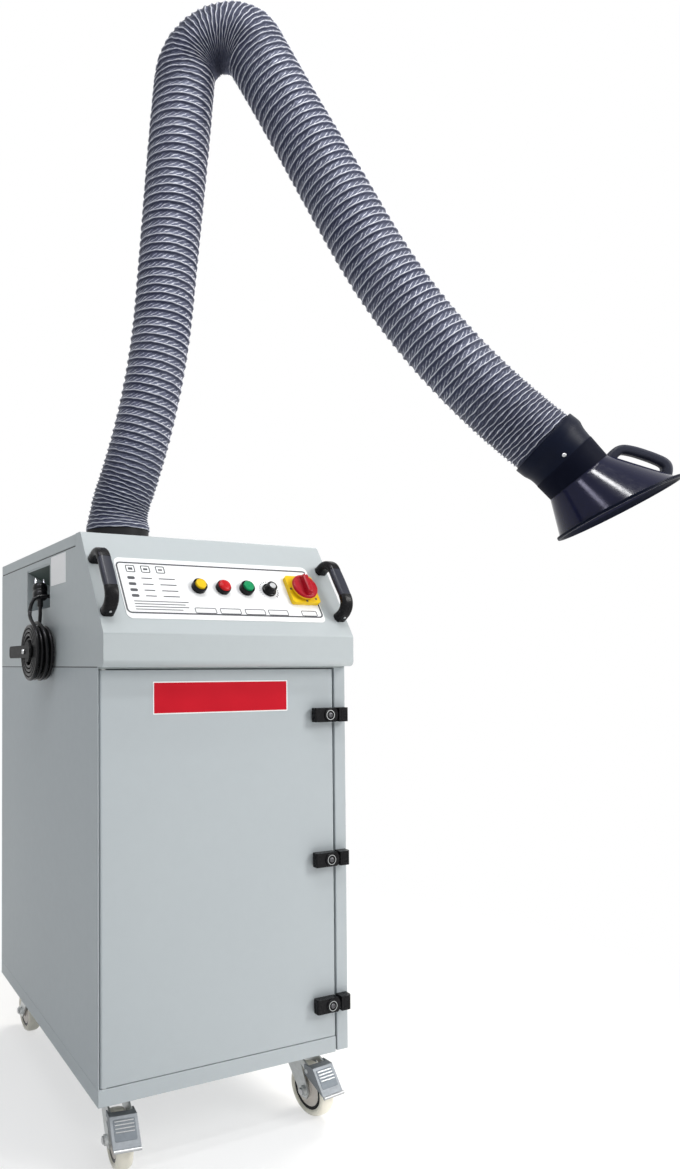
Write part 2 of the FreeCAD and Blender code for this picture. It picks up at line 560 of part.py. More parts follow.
knob_skirt = cylinder("knob_skirt", "knob_skirt", "knob_skirt_tall", ("0", "0", "0"))
knob_body = doc.addObject("Part::Cone", "knob_body")
knob_body.setExpression("Radius1", bound("knob_radius"))
knob_body.setExpression("Radius2", bound("knob_radius - button_round"))
knob_body.setExpression("Height", bound("knob_tall"))
knob_mark = box("knob_mark", ("knob_pointer", "knob_radius", "knob_tall"),
                ("-knob_pointer / 2", "0", "button_round"))
speed_knob = fused("speed_knob", [knob_skirt, knob_body, knob_mark])
doc.recompute()
node("speed_knob", speed_knob, on_slope(2 * size.control_pitch, size.control_row, size.plate_wall
                                        + size.fit_gap))

switch_block = box("switch_block", ("switch_side", "switch_side", "switch_wall"),
                   ("-switch_side / 2", "-switch_side / 2", "0"))
switch_rounded = rounded("switch_rounded", switch_block, size.switch_round, lambda edge: along(edge, axis_z))
switch_neck = cylinder("switch_neck", "switch_neck", "switch_neck_tall", ("0", "0", "switch_wall"))
switch_plate = fused("switch_plate", [switch_rounded, switch_neck])
doc.recompute()
node("switch_plate", switch_plate, on_slope(size.switch_place, size.control_row, size.plate_wall))
dial_disc = cylinder("dial_disc", "dial_radius", "dial_wall", ("0", "0", "0"))
dial_disc_round = rounded("dial_disc_round", dial_disc, size.dial_round,
                          lambda edge: edge.BoundBox.ZMin > size.fit_gap)
dial_bar = box("dial_bar", ("dial_bar_width", "2 * dial_radius - 2 * dial_wall", "dial_bar_tall"),
               ("-dial_bar_width / 2", "-dial_radius + dial_wall", "dial_wall - dial_round"))
dial_bar_round = rounded("dial_bar_round", dial_bar, size.dial_bar_width / 3,
                         lambda edge: along(edge, axis_z))
switch_dial = fused("switch_dial", [dial_disc_round, dial_bar_round])
doc.recompute()
dial_out = size.plate_wall + size.switch_wall + size.switch_neck_tall + size.fit_gap
node("switch_dial", switch_dial, on_slope(size.switch_place, size.control_row, dial_out))

# Pull handles: an oval bar between two moulded end caps, on each end of the slope

handle_pieces = []
for side, handle_at in (("left", "-handle_x"), ("right", "handle_x")):
    bar_low = "handle_low + handle_foot + handle_slant"
    bar_high = "handle_high - handle_foot - handle_slant"
    bar = box("handle_bar_" + side,
              ("handle_bar_width", "handle_high - handle_low - 2 * handle_foot - 2 * handle_slant",
                                     "handle_bar_wall"),
              (handle_at + " - handle_bar_width / 2", bar_low, "handle_proud - handle_bar_wall"))
    handle_pieces.append(rounded("handle_oval_" + side, bar, size.handle_bar_wall / 2 - size.handle_seam,
                                 lambda edge: along(edge, axis_y)))
    for end, sign, start in (("low", "", "handle_low"), ("high", "-", "handle_high")):
        joint = "+" if sign == "" else "-"
        cap_points = [(start, "0"), (start + joint + "handle_foot", "0"),
                      (start + joint + "handle_foot", "handle_proud - handle_bar_wall - handle_slant"),
                      (start + joint + "(handle_foot + handle_slant)", "handle_proud - handle_bar_wall"),
                      (start + joint + "(handle_foot + handle_slant)", "handle_proud"),
                      (start + joint + "handle_slant", "handle_proud"),
                      (start, "handle_proud - handle_slant")]
        cap = prism("handle_cap_%s_%s" % (side, end), "YZ_Plane", cap_points, "handle_bar_width")
        put(cap, (handle_at, "0", "0"))
        handle_pieces.append(rounded("handle_end_%s_%s" % (side, end), cap, size.handle_round,
                                     lambda edge: edge.Length > size.handle_slant / 2 and not along(edge,
                                                                                                    axis_x)
                                     and edge.BoundBox.ZMax > size.handle_slant
                                     and edge.CenterOfMass.z > size.handle_slant / 2))
pull_handles = grouped("pull_handles", handle_pieces)
doc.recompute()
node("pull_handles", pull_handles, slope_place)

# Inside: duct, filters, shelf, fan and electrics

duct = turned("inlet_duct", [
    ("duct_radius - duct_wall", "console_floor - deck_wall - duct_drop"),
    ("duct_radius", "console_floor - deck_wall - duct_drop"),
    ("duct_radius", "console_top + fit_gap"), ("flange_radius", "console_top + fit_gap"), ("flange_radius",
                                                                                           "flange_top"),
    ("bearing_radius", "flange_top"), ("bearing_radius", "bearing_top"), ("duct_radius - duct_wall",
                                                                          "bearing_top")])
put(duct, ("0", "arm_back", "0"))
node("inlet_duct", duct)

shelf_sheet = box("shelf_sheet",
                  ("2 * inner_half", "half_depth - sheet_wall - side_flange / 2 - chamber_front",
                   "shelf_wall"),
                  ("-inner_half", "chamber_front", "shelf_top - shelf_wall"))
shelf_hole = cylinder("shelf_hole", "scroll_mouth", "shelf_wall + 2 * cut_over",
                      ("0", "fan_y", "shelf_top - shelf_wall - cut_over"))
node("filter_shelf", cut("filter_shelf", shelf_sheet, [shelf_hole]))

filter_wide = "2 * inner_half - 2 * frame_rail - 2 * filter_gap"
filter_deep = "half_depth - chamber_front - 2 * filter_gap - side_flange"
filter_block = box("filter_block", (filter_wide, filter_deep, "filter_tall"),
                   ("-inner_half + frame_rail + filter_gap", "chamber_front + filter_gap", "filter_floor"))
pleats = []
pleat_middle_share = 0.5
pleat_shift_share = 0.25
for pleat in range(int(size.pleat_count)):
    share = (pleat + pleat_middle_share) / size.pleat_count
    for face, pleat_z in (("top", "filter_top - filter_tall * pleat_depth_share"),
                          ("low", "filter_floor - cut_over")):
        shift = share + pleat_shift_share / size.pleat_count * (1 if face == "top" else -1)
        pleats.append(box("pleat_%s_%d" % (face, pleat),
                          ("(%s - 2 * filter_frame) / (pleat_count * 4)" % filter_wide,
                           filter_deep + " - 2 * filter_frame",
                           "filter_tall * pleat_depth_share + cut_over"),
                          ("-inner_half + frame_rail + filter_gap + filter_frame + (%s - 2 * filter_frame) * %.6f"
                           % (filter_wide, shift), "chamber_front + filter_gap + filter_frame", pleat_z)))
pleat_cuts = grouped("pleat_cuts", pleats)
node("main_filter", cut("main_filter", filter_block, [pleat_cuts]))

prefilter_block = box("prefilter_block", (filter_wide, filter_deep, "prefilter_tall"),
                      ("-inner_half + frame_rail + filter_gap", "chamber_front + filter_gap",
                       "prefilter_floor"))
mesh_cells = []
mesh_pitch = "((%s - 2 * filter_frame + mesh_bar) / mesh_count)" % filter_wide
mesh_reach = "((%s - 2 * filter_frame + mesh_bar) / mesh_count)" % filter_deep
for across in range(int(size.mesh_count)):
    for back in range(int(size.mesh_count)):
        mesh_cells.append(box("mesh_%d_%d" % (across, back),
                              (mesh_pitch + " - mesh_bar", mesh_reach + " - mesh_bar",
                                                               "prefilter_tall + 2 * cut_over"),
                              ("-inner_half + frame_rail + filter_gap + filter_frame + %d * %s" % (across, mesh_pitch),
                               "chamber_front + filter_gap + filter_frame + %d * %s" % (back, mesh_reach),
                               "prefilter_floor - cut_over")))
mesh_cuts = grouped("mesh_cuts", mesh_cells)
prefilter_frame = cut("prefilter_frame", prefilter_block, [mesh_cuts])
prefilter_rails = []
for side, rail_x in (("left", "-inner_half"), ("right", "inner_half - frame_rail - filter_gap - rail_reach")):
    prefilter_rails.append(box("prefilter_rail_" + side,
                               ("frame_rail + filter_gap + rail_reach", filter_deep, "sheet_wall"),
                               (rail_x, "chamber_front + filter_gap", "prefilter_floor - sheet_wall")))
node("prefilter_panel", grouped("prefilter_panel", [prefilter_frame] + prefilter_rails))

scroll_outer = cylinder("scroll_outer", "scroll_radius", "scroll_tall", ("0", "fan_y", "scroll_floor"))
outlet_outer = box("outlet_outer", ("2 * outlet_half", "half_depth - 2 * sheet_wall - fit_gap - fan_y",
                                    "scroll_tall"),
                   ("-outlet_half", "fan_y", "scroll_floor"))
scroll_inner = cylinder("scroll_inner", "scroll_radius - scroll_wall", "scroll_tall - 2 * scroll_wall",
                        ("0", "fan_y", "scroll_floor + scroll_wall"))
outlet_inner = box("outlet_inner",
                   ("2 * outlet_half - 2 * scroll_wall", "half_depth - fan_y",
                    "scroll_tall - 2 * scroll_wall"),
                   ("-outlet_half + scroll_wall", "fan_y", "scroll_floor + scroll_wall"))
scroll_eye = cylinder("scroll_eye", "scroll_mouth", "2 * cut_over", ("0", "fan_y", "scroll_top - cut_over"))
scroll_shaft = cylinder("scroll_shaft", "shaft_radius + fit_gap", "2 * cut_over",
                        ("0", "fan_y", "scroll_floor - cut_over"))
node("fan_scroll", cut("fan_scroll", fused("scroll_joined", [scroll_outer, outlet_outer]),
                       [scroll_inner, outlet_inner, scroll_eye, scroll_shaft]))

impeller_floor = "scroll_floor + scroll_wall + (scroll_tall - 2 * scroll_wall - impeller_tall) / 2"
wheel_floor = "(scroll_tall - 2 * scroll_wall - impeller_tall) / 2"
back_disc = cylinder("back_disc", "impeller_radius", "impeller_plate", ("0", "0", "0"))
eye_disc = cylinder("eye_disc", "impeller_radius", "impeller_plate",
                    ("0", "0", "impeller_tall - impeller_plate"))
eye_hole = cylinder("eye_hole", "impeller_eye", "impeller_tall", ("0", "0", "impeller_plate + fit_gap"))
hub = cylinder("impeller_hub", "hub_radius", "impeller_tall / 2", ("0", "0", "0"))
eye_ring = cut("eye_ring", eye_disc, [eye_hole])
blades = []
for blade in range(int(size.blade_count)):
    vane = box("blade_%d" % blade,
               ("impeller_radius - blade_root - blade_wall", "blade_wall",
                "impeller_tall - impeller_plate"),
               ("0", "0", "0"))
    turn = 360.0 * blade / size.blade_count
    swept = moved(0, 0, 0, axis_z, turn).multiply(moved(size.blade_root, 0, 0, axis_z, -size.blade_sweep))
    vane.Placement = swept.multiply(moved(0, 0, size.impeller_plate / 2))
    blades.append(vane)
impeller_bore = cylinder("impeller_bore", "shaft_radius", "impeller_tall + 2 * cut_over",
                         ("0", "0", "-cut_over"))
impeller = cut("impeller_bored", fused("impeller_joined", [back_disc, eye_ring, hub] + blades),
               [impeller_bore])
shaft = cylinder("impeller_shaft", "shaft_radius",
                 "impeller_tall / 2 + scroll_wall + 2 * motor_fin + " + wheel_floor,
                 ("0", "0", "-scroll_wall - 2 * motor_fin - " + wheel_floor))
fan_impeller = fused("fan_impeller", [impeller, shaft])
doc.recompute()
node("fan_impeller", fan_impeller)
put(fan_impeller, ("0", "fan_y", impeller_floor))

motor_body = cylinder("motor_body", "motor_radius", "motor_tall", ("0", "0", "-motor_tall"))
motor_fins = []
for fin in range(int(size.motor_fin_count)):
    rib = box("motor_fin_%d" % fin, ("motor_fin * 2", "motor_fin / 2", "motor_tall - 4 * motor_fin"),
              ("0", "0", "0"))
    turn = 360.0 * fin / size.motor_fin_count
    rib.Placement = moved(0, 0, 0, axis_z, turn).multiply(
        moved(size.motor_radius - size.motor_fin, -size.motor_fin / 4, -size.motor_tall + 2 * size.motor_fin))
    motor_fins.append(rib)
motor_bore = cylinder("motor_bore", "shaft_radius + run_gap", "3 * motor_fin + cut_over",
                      ("0", "0", "-3 * motor_fin"))
fan_motor = cut("fan_motor", fused("motor_joined", [motor_body] + motor_fins), [motor_bore])
doc.recompute()
node("fan_motor", fan_motor)
put(fan_motor, ("0", "fan_y", "scroll_floor"))

node("electrics_box", box("electrics_box", ("box_length", "box_depth", "box_tall"),
                          ("box_x - box_length / 2", "-half_depth + box_depth",
                           "console_floor + sheet_wall")))

# Casters

plates = []
corners = (("front_left", -1, -1, size.front_left_turn), ("front_right", 1, -1, size.front_right_turn),
           ("rear_left", -1, 1, 180.0),
           ("rear_right", 1, 1, 180.0))
for name, side, end, heading in corners:
    corner = moved(side * size.caster_x, end * size.caster_y, 0)
    plate = box("caster_sheet_" + name, ("plate_short", "plate_long", "caster_plate"),
                ("%d * caster_x - plate_short / 2" % side, "%d * caster_y - plate_long / 2" % end,
                 "caster_height - caster_plate"))
    swivel = cylinder("caster_head_" + name, "head_radius", "head_tall",
                      ("%d * caster_x" % side, "%d * caster_y" % end,
                       "caster_height - caster_plate - head_tall"))
    plates.append(fused("caster_plate_" + name, [plate, swivel]))
    crown = cylinder("crown_" + name, "head_radius", "crown_wall", ("0", "0", "crown_floor"))
    bridge = box("fork_bridge_" + name, ("2 * leg_inner + 2 * leg_wall", "leg_back + caster_trail / 2",
                                         "crown_wall"),
                 ("-leg_inner - leg_wall", "-caster_trail / 2", "crown_floor"))
    legs = []
    for hand, sign in (("left", "-"), ("right", "")):
        leg = prism("fork_leg_%s_%s" % (hand, name), "YZ_Plane", [
            ("leg_back", "crown_top"), ("-caster_trail / 2", "crown_top"),
            ("-caster_trail - leg_nose", "wheel_radius"), ("-caster_trail - leg_nose / 2",
                                                           "wheel_radius - leg_nose"),
            ("-caster_trail + leg_nose / 2", "wheel_radius - leg_nose"),
            ("leg_back", "crown_floor - leg_nose")], "leg_wall")
        put(leg, (sign + "(leg_inner + leg_wall / 2)", "0", "0"))
        legs.append(leg)
    axle = cylinder("axle_" + name, "axle_radius", "2 * leg_inner + 2 * leg_wall + 2 * nut_tall",
                    ("-leg_inner - leg_wall - nut_tall", "-caster_trail", "wheel_radius"), "x")
    nuts = [cylinder("nut_%s_%s" % (hand, name), "nut_radius", "nut_tall",
                     (start, "-caster_trail", "wheel_radius"), "x")
            for hand, start in (("left", "-leg_inner - leg_wall - nut_tall"),
                                ("right", "leg_inner + leg_wall"))]
    pieces = [crown, bridge] + legs + [axle] + nuts
    if end < 0:
        for hand, sign, start in (("left", "-", "-pedal_width / 2 - pedal_wall"), ("right", "", "leg_inner")):
            pieces.append(cylinder("pedal_pin_%s_%s" % (hand, name), "pedal_pin",
                                   "pedal_width / 2 + pedal_wall - leg_inner",
                                   (start, "-pedal_pin_y", "pedal_pin_z"), "x"))
            tongue = prism("pedal_tongue_%s_%s" % (hand, name), "YZ_Plane", [
                ("-caster_trail / 2", "crown_floor"), ("-pedal_pin_y - pedal_pin - pedal_wall",
                                                       "pedal_pin_z + pedal_pin + pedal_wall"),
                ("-pedal_pin_y - pedal_pin - pedal_wall", "pedal_pin_z - pedal_pin - pedal_wall"),
                ("-caster_trail / 2", "crown_floor - leg_nose")], "leg_wall")
            put(tongue, (sign + "(leg_inner + leg_wall / 2)", "0", "0"))
            pieces.append(tongue)
    fork = fused("caster_fork_" + name, pieces)
    doc.recompute()
    node("caster_fork_" + name, fork, corner.multiply(moved(0, 0, 0, axis_z, heading)))
    wheel = turned("caster_wheel_" + name, [
        ("axle_radius + run_gap", "-wheel_width / 2"), ("hub_face", "-wheel_width / 2"),
        ("hub_face", "-wheel_width / 2 + hub_inset"), ("wheel_radius - rim_inset",
                                                       "-wheel_width / 2 + hub_inset"),
        ("wheel_radius - rim_inset", "-wheel_width / 2"),
        ("wheel_radius - wheel_round", "-wheel_width / 2"),
        ("wheel_radius", "-wheel_width / 2 + wheel_round"),
        ("wheel_radius", "wheel_width / 2 - wheel_round"),
        ("wheel_radius - wheel_round", "wheel_width / 2"), ("wheel_radius - rim_inset", "wheel_width / 2"),
        ("wheel_radius - rim_inset", "wheel_width / 2 - hub_inset"), ("hub_face",
                                                                      "wheel_width / 2 - hub_inset"),
        ("hub_face", "wheel_width / 2"), ("axle_radius + run_gap", "wheel_width / 2")])
    doc.recompute()
    node("caster_wheel_" + name, wheel, corner.multiply(moved(0, 0, 0, axis_z, heading)).multiply(
        moved(0, -size.caster_trail, size.wheel_radius, axis_y, 90)))
    if end < 0:
        tread = prism("pedal_tread_" + name, "YZ_Plane", [
            ("-pedal_near", "pedal_top"), ("-pedal_far", "pedal_bottom"), ("-pedal_far - pedal_wall",
                                                                           "pedal_bottom"),
            ("-pedal_near - pedal_wall", "pedal_top + pedal_wall"), ("-pedal_pin_y - pedal_pin",
                                                                     "pedal_top + pedal_wall"),
            ("-pedal_pin_y - pedal_pin", "pedal_top")], "pedal_width")
        ears = []
        for hand, sign in (("left", "-"), ("right", "")):
            ear = prism("pedal_ear_%s_%s" % (hand, name), "YZ_Plane", [
                ("-pedal_pin_y + pedal_ear / 2",
                 "pedal_pin_z - pedal_ear / 2"), ("-pedal_pin_y + pedal_ear / 2", "pedal_top + pedal_wall"),
                ("-pedal_near - pedal_wall", "pedal_top + pedal_wall"), ("-pedal_far - pedal_wall",
                                                                         "pedal_bottom")], "pedal_wall")
            put(ear, (sign + "(pedal_width / 2 + pedal_wall / 2)", "0", "0"))
            ears.append(ear)
        pedal_bore = cylinder("pedal_bore_" + name, "pedal_pin + run_gap", "pedal_width + 4 * pedal_wall",
                              ("-pedal_width / 2 - 2 * pedal_wall", "-pedal_pin_y", "pedal_pin_z"), "x")
        pedal = cut("brake_pedal_" + name, fused("pedal_joined_" + name, [tread] + ears), [pedal_bore])
        doc.recompute()
        node("brake_pedal_" + name, pedal, corner.multiply(moved(0, 0, 0, axis_z, heading)))
node("caster_plates", grouped("caster_plates", plates))

# Extraction arm, in the arm's own upright plane: X outwards from the swivel axis, Z up

arm_place = moved(0, size.arm_back, 0, axis_z, size.arm_turn)
runs = [
    (size.lean_angle, size.shoulder_bend), (size.mast_angle - size.lean_angle, size.lean_run),
    (0.0, size.mast_run),
    (size.boom_angle - size.mast_angle, size.elbow_radius * math.radians(size.boom_angle - size.mast_angle)),
    (0.0, size.boom_run), (size.hood_angle - size.boom_angle, size.droop_run)]
starts = [0.0]
for turn, length in runs:
    starts.append(starts[-1] + length)
hose_length = starts[-1]


def run_end(out, up, heading, turn, length):
    # The end of a straight or evenly bent run: heading is measured from straight up.
    first = math.radians(heading)
    bend = math.radians(turn)
    if abs(turn) < tiny:
        return out + length * math.sin(first), up + length * math.cos(first), heading
    radius = length / bend
    return (out + radius * (math.cos(first) - math.cos(first + bend)),
            up + radius * (math.sin(first + bend) - math.sin(first)), heading + turn)


def locate(station):
    # Place and heading of the hose's middle line at a length from its start.
    out, up, heading = 0.0, size.collar_top, 0.0
    for (turn, length), begin in zip(runs, starts):
        part = min(max(station - begin, 0.0), length)
        out, up, heading = run_end(out, up, heading, turn * part / length, part)
        if station <= begin + length:
            break
    return out, up, heading


def middle_line(first, last):
    # Lines and arcs of the middle line between two lengths.
    edges = []
    for (turn, length), begin in zip(runs, starts):
        low, high = max(first, begin), min(last, begin + length)
        if high - low < tiny:
            continue
        points = [FreeCAD.Vector(locate(s)[0], 0, locate(s)[1]) for s in (low, (low + high) / 2, high)]
        if abs(turn) < tiny:
            edges.append(Part.LineSegment(points[0], points[2]).toShape())
        else:
            edges.append(Part.Arc(points[0], points[1], points[2]).toShape())
    return Part.Wire(edges)


def ring(station, radius):
    out, up, heading = locate(station)
    circle = Part.Wire(Part.Circle(FreeCAD.Vector(), axis_z, radius).toShape())
    circle.Placement = moved(out, 0, up, axis_y, heading)
    return circle


rib_shares = (0.0, 0.42, 0.6, 0.82)


def ribbed(first, last, pitch):
    # Hose wall with one rib a pitch: four circles a rib, joined by straight lines.
    count = max(1, round((last - first) / pitch))
    step = (last - first) / count
    low = size.hose_radius - size.rib_height
    outer, inner = [], []
    for rib in range(count):
        for share, radius in zip(rib_shares, (low, low, size.hose_radius, size.hose_radius)):
            outer.append(ring(first + (rib + share) * step, radius))
        inner.append(ring(first + rib * step, size.hose_bore))
    outer.append(ring(last, low))
    inner.append(ring(last, size.hose_bore))
    wall = Part.makeLoft(outer, True, True).cut(Part.makeLoft(inner, True, True))
    return wall, count


elbow_first = starts[3] - size.soft_elbow
elbow_last = starts[4] + size.soft_elbow
wrist_first = hose_length - size.soft_wrist
rib_total = 0
for name, first, last, pitch in (
        ("hose_shoulder", 0.0, size.soft_shoulder, size.tight_pitch),
        ("hose_lower", size.soft_shoulder, elbow_first, size.rib_pitch),
        ("hose_elbow", elbow_first, elbow_last, size.rib_pitch),
        ("hose_upper", elbow_last, wrist_first, size.rib_pitch),
        ("hose_wrist", wrist_first, hose_length, size.wrist_pitch)):
    wall, count = ribbed(first, last, pitch)
    rib_total += count
    node(name, solid(name, wall), arm_place)
print("ribs", rib_total, "hose length", round(hose_length))

lug_inner = size.eye_half + size.lug_gap
lug_outer = lug_inner + size.lug_wall


def link(first, last):
    # A bent tube inside the hose with an eye at each end.
    path = middle_line(first, last)
    out, up, heading = locate(first)
    section = Part.Wire(Part.Circle(FreeCAD.Vector(), axis_z, size.link_radius).toShape())
    section.Placement = moved(out, 0, up, axis_y, heading)
    rod = path.makePipeShell([section], True, False)
    ends = [FreeCAD.Vector(locate(station)[0], -size.eye_half, locate(station)[1]) for station in (first,
                                                                                                   last)]
    for start in ends:
        rod = rod.fuse(Part.makeCylinder(size.eye_radius, 2 * size.eye_half, start, axis_y))
    return rod, ends


shoulder_at = size.shoulder_rise
elbow_at = (starts[3] + starts[4]) / 2
bore = size.pin_radius + size.run_gap
lower_rod, lower_ends = link(shoulder_at, elbow_at)


def bored(shape, start):
    hole = Part.makeCylinder(bore, 2 * size.eye_half + 2 * size.cut_over,
                             start - FreeCAD.Vector(0, size.cut_over, 0), axis_y)
    return shape.cut(hole)


def pinned(middle):
    return Part.makeCylinder(size.pin_radius, 2 * lug_outer, middle - FreeCAD.Vector(0, lug_outer, 0), axis_y)


def lug(middle, direction, reach):
    # Two side plates that hold a pin and reach from it along a direction.
    across = FreeCAD.Vector(direction.z, 0, -direction.x)
    plates = []
    for low in (-lug_outer, lug_inner):
        base = middle + FreeCAD.Vector(0, low, 0)
        corner_list = [base + across * size.lug_half, base + across * size.lug_half + direction * reach,
                       base - across * size.lug_half + direction * reach, base - across * size.lug_half]
        face = Part.Face(Part.makePolygon(corner_list + corner_list[:1]))
        plates.append(face.extrude(FreeCAD.Vector(0, size.lug_wall, 0)))
        plates.append(Part.makeCylinder(size.lug_half, size.lug_wall, base, axis_y))
    return plates


lower_link = bored(bored(lower_rod, lower_ends[0]), lower_ends[1])
node("lower_arm_link", solid("lower_arm_link", lower_link), arm_place)

elbow_out, elbow_up, elbow_heading = locate(elbow_at)
elbow_middle = FreeCAD.Vector(elbow_out, 0, elbow_up)
heading_way = FreeCAD.Vector(math.sin(math.radians(elbow_heading)), 0, math.cos(math.radians(elbow_heading)))
fork_reach = size.lug_half + size.eye_radius + size.lug_gap
upper_start = elbow_at + fork_reach
upper_rod, upper_ends = link(upper_start, hose_length)
tie_start = FreeCAD.Vector(locate(upper_start)[0], -lug_outer, locate(upper_start)[1])
tie = Part.makeCylinder(size.eye_radius, 2 * lug_outer, tie_start, axis_y)
upper_fork = lug(elbow_middle, heading_way, fork_reach) + [pinned(elbow_middle)]
upper_link = bored(upper_rod.fuse([tie] + upper_fork), upper_ends[1])
node("upper_arm_link", solid("upper_arm_link", upper_link), arm_place)

collar_tube = turned("collar_tube", [
    ("bearing_radius + run_gap", "flange_top + fit_gap"), ("collar_radius", "flange_top + fit_gap"),
    ("collar_radius", "collar_top"), ("collar_radius - collar_wall", "collar_top"),
    ("collar_radius - collar_wall", "bearing_top + lid_gap"), ("bearing_radius + run_gap",
                                                               "bearing_top + lid_gap")])
doc.recompute()
shoulder_middle = FreeCAD.Vector(locate(shoulder_at)[0], 0, locate(shoulder_at)[1])
bridge_plates = []
for low in (-lug_outer, lug_inner):
    plate_shape = Part.makeBox(2 * size.collar_radius, size.lug_wall, size.bridge_tall,
                               FreeCAD.Vector(-size.collar_radius, low,
                                              size.collar_top - size.bridge_drop - size.bridge_tall))
    core = Part.makeCylinder(size.collar_radius - size.collar_wall / 2, size.collar_top, FreeCAD.Vector(),
                             axis_z)
    bridge_plates.append(plate_shape.common(core))
shoulder_reach = size.shoulder_rise + size.bridge_drop + size.bridge_tall / 2
shoulder_fork = lug(shoulder_middle, -axis_z, shoulder_reach) + [pinned(shoulder_middle)]
turntable = collar_tube.Shape.fuse(bridge_plates + shoulder_fork)
node("turntable", solid("turntable", turntable), arm_place)

# Hood: a collar with the tilt fork, a waisted neck and cone with a slanting mouth, and a grip

end_out, end_up, end_heading = locate(hose_length)
end_place = moved(end_out, 0, end_up, axis_y, end_heading)
end_middle = FreeCAD.Vector(end_out, 0, end_up)
end_way = FreeCAD.Vector(math.sin(math.radians(end_heading)), 0, math.cos(math.radians(end_heading)))


neck_place = end_place.multiply(moved(0, 0, size.hood_collar_tall))
waist_place = moved(end_out + size.waist_out, 0, end_up - size.waist_down, axis_y, size.waist_turn)
mouth_place = moved(end_out + size.mouth_out, 0, end_up - size.mouth_down, axis_y, size.mouth_turn)
mouth_place = mouth_place.multiply(moved(0, 0, 0, axis_x, size.mouth_roll))


def hood_ring(place, radius):
    circle = Part.Wire(Part.Circle(FreeCAD.Vector(), axis_z, radius).toShape())
    circle.Placement = place
    return circle


def hood_skin(inset):
    return Part.makeLoft([hood_ring(neck_place, size.neck_radius - inset),
                          hood_ring(waist_place, size.waist_radius - inset),
                          hood_ring(mouth_place, size.mouth_radius - inset)], True, True)


rim = Part.makeCylinder(size.rim_radius, size.rim_tall)
rim = rim.cut(Part.makeCylinder(size.mouth_radius - size.hood_wall, size.rim_tall))
rim.Placement = mouth_place.multiply(moved(0, 0, -size.rim_tall))
rim_core = Part.makeCylinder(size.mouth_radius - size.hood_wall, 2 * size.rim_tall)
rim_core.Placement = mouth_place.multiply(moved(0, 0, -size.rim_tall))
collar_ring = Part.makeCylinder(size.collar_radius, size.hood_collar_tall).cut(
    Part.makeCylinder(size.collar_radius - size.hood_collar_wall, size.hood_collar_tall))
collar_ring.Placement = end_place
step_ring = Part.makeCylinder(size.collar_radius, size.hood_wall).cut(
    Part.makeCylinder(size.neck_radius - size.hood_wall, size.hood_wall))
step_ring.Placement = end_place.multiply(moved(0, 0, size.hood_collar_tall - size.hood_wall))
fork_plates = []
for low in (-lug_outer, lug_inner):
    plate_shape = Part.makeBox(2 * size.collar_radius, size.lug_wall,
                               size.hood_collar_tall - 2 * size.hood_wall,
                               FreeCAD.Vector(-size.collar_radius, low, size.hood_wall))
    plate_shape = plate_shape.common(Part.makeCylinder(size.collar_radius - size.hood_collar_wall / 2,
                                                       size.hood_collar_tall))
    plate_shape.Placement = end_place
    fork_plates.append(plate_shape)
skin = hood_skin(0.0).cut(hood_skin(size.hood_wall))
hood_fork = lug(end_middle, end_way, size.hood_collar_tall / 2) + [pinned(end_middle)]
hood_shape = skin.fuse([rim, collar_ring, step_ring] + fork_plates + hood_fork)
node("hood", solid("hood", hood_shape), arm_place)

# The grip's outline follows the hood's upper side, from the waist to the rim, in shares of that stretch.
waist_top = waist_place.multVec(FreeCAD.Vector(-size.waist_radius, 0, 0))
mouth_top = mouth_place.multVec(FreeCAD.Vector(-size.rim_radius, 0, 0))
grip_way = mouth_top - waist_top
grip_out = FreeCAD.Vector(-grip_way.z, 0, grip_way.x)
outer_shares = ((-0.02, -0.04), (0.07, 0.17), (0.17, 0.235), (0.44, 0.257), (0.71, 0.22), (0.86, 0.11),
                (0.905, -0.02))
inner_shares = ((0.13, -0.08), (0.155, 0.108), (0.43, 0.115), (0.725, 0.105), (0.745, -0.08))


def grip_outline(shares):
    corner_list = [waist_top + grip_way * along_share + grip_out * out_share
                   for along_share, out_share in shares]
    return Part.Face(Part.makePolygon(corner_list + corner_list[:1]))


grip_face = grip_outline(outer_shares).cut(grip_outline(inner_shares))
grip = grip_face.extrude(FreeCAD.Vector(0, 2 * size.grip_half, 0))
grip.translate(FreeCAD.Vector(0, -size.grip_half, 0))
grip = grip.cut(hood_skin(0.0)).cut(Part.Solid(rim.fuse(rim_core).Solids[0]))
grip = max(grip.Solids, key=lambda piece: piece.Volume)
node("hood_grip", solid("hood_grip", grip), arm_place)

# Mains cord: hanger, gland, coil, two leads and the plug

hanger_foot = cylinder("hanger_foot", "hanger_foot", "hanger_base", ("-hanger_base", "0", "0"), "x")
hanger_post = cylinder("hanger_post", "hanger_post", "hanger_reach", ("-hanger_reach", "0", "0"), "x")
hanger_bar = box("hanger_bar", ("hanger_wall", "hanger_front + hanger_rear", "hanger_tall"),
                 ("-hanger_reach - hanger_wall", "-hanger_front", "-hanger_tall / 2"))
hanger_ends = rounded("hanger_ends", hanger_bar, size.hanger_round, lambda edge: along(edge, axis_x))
hanger_screw = cylinder("hanger_screw", "hanger_screw", "hanger_screw_tall + hanger_wall / 2",
                        ("-hanger_reach - hanger_wall - hanger_screw_tall", "0", "0"), "x")
cord_hanger = fused("cord_hanger", [hanger_foot, hanger_post, hanger_ends, hanger_screw])
doc.recompute()
node("cord_hanger", cord_hanger)
put(cord_hanger, ("-half_width", "coil_y", "coil_z"))

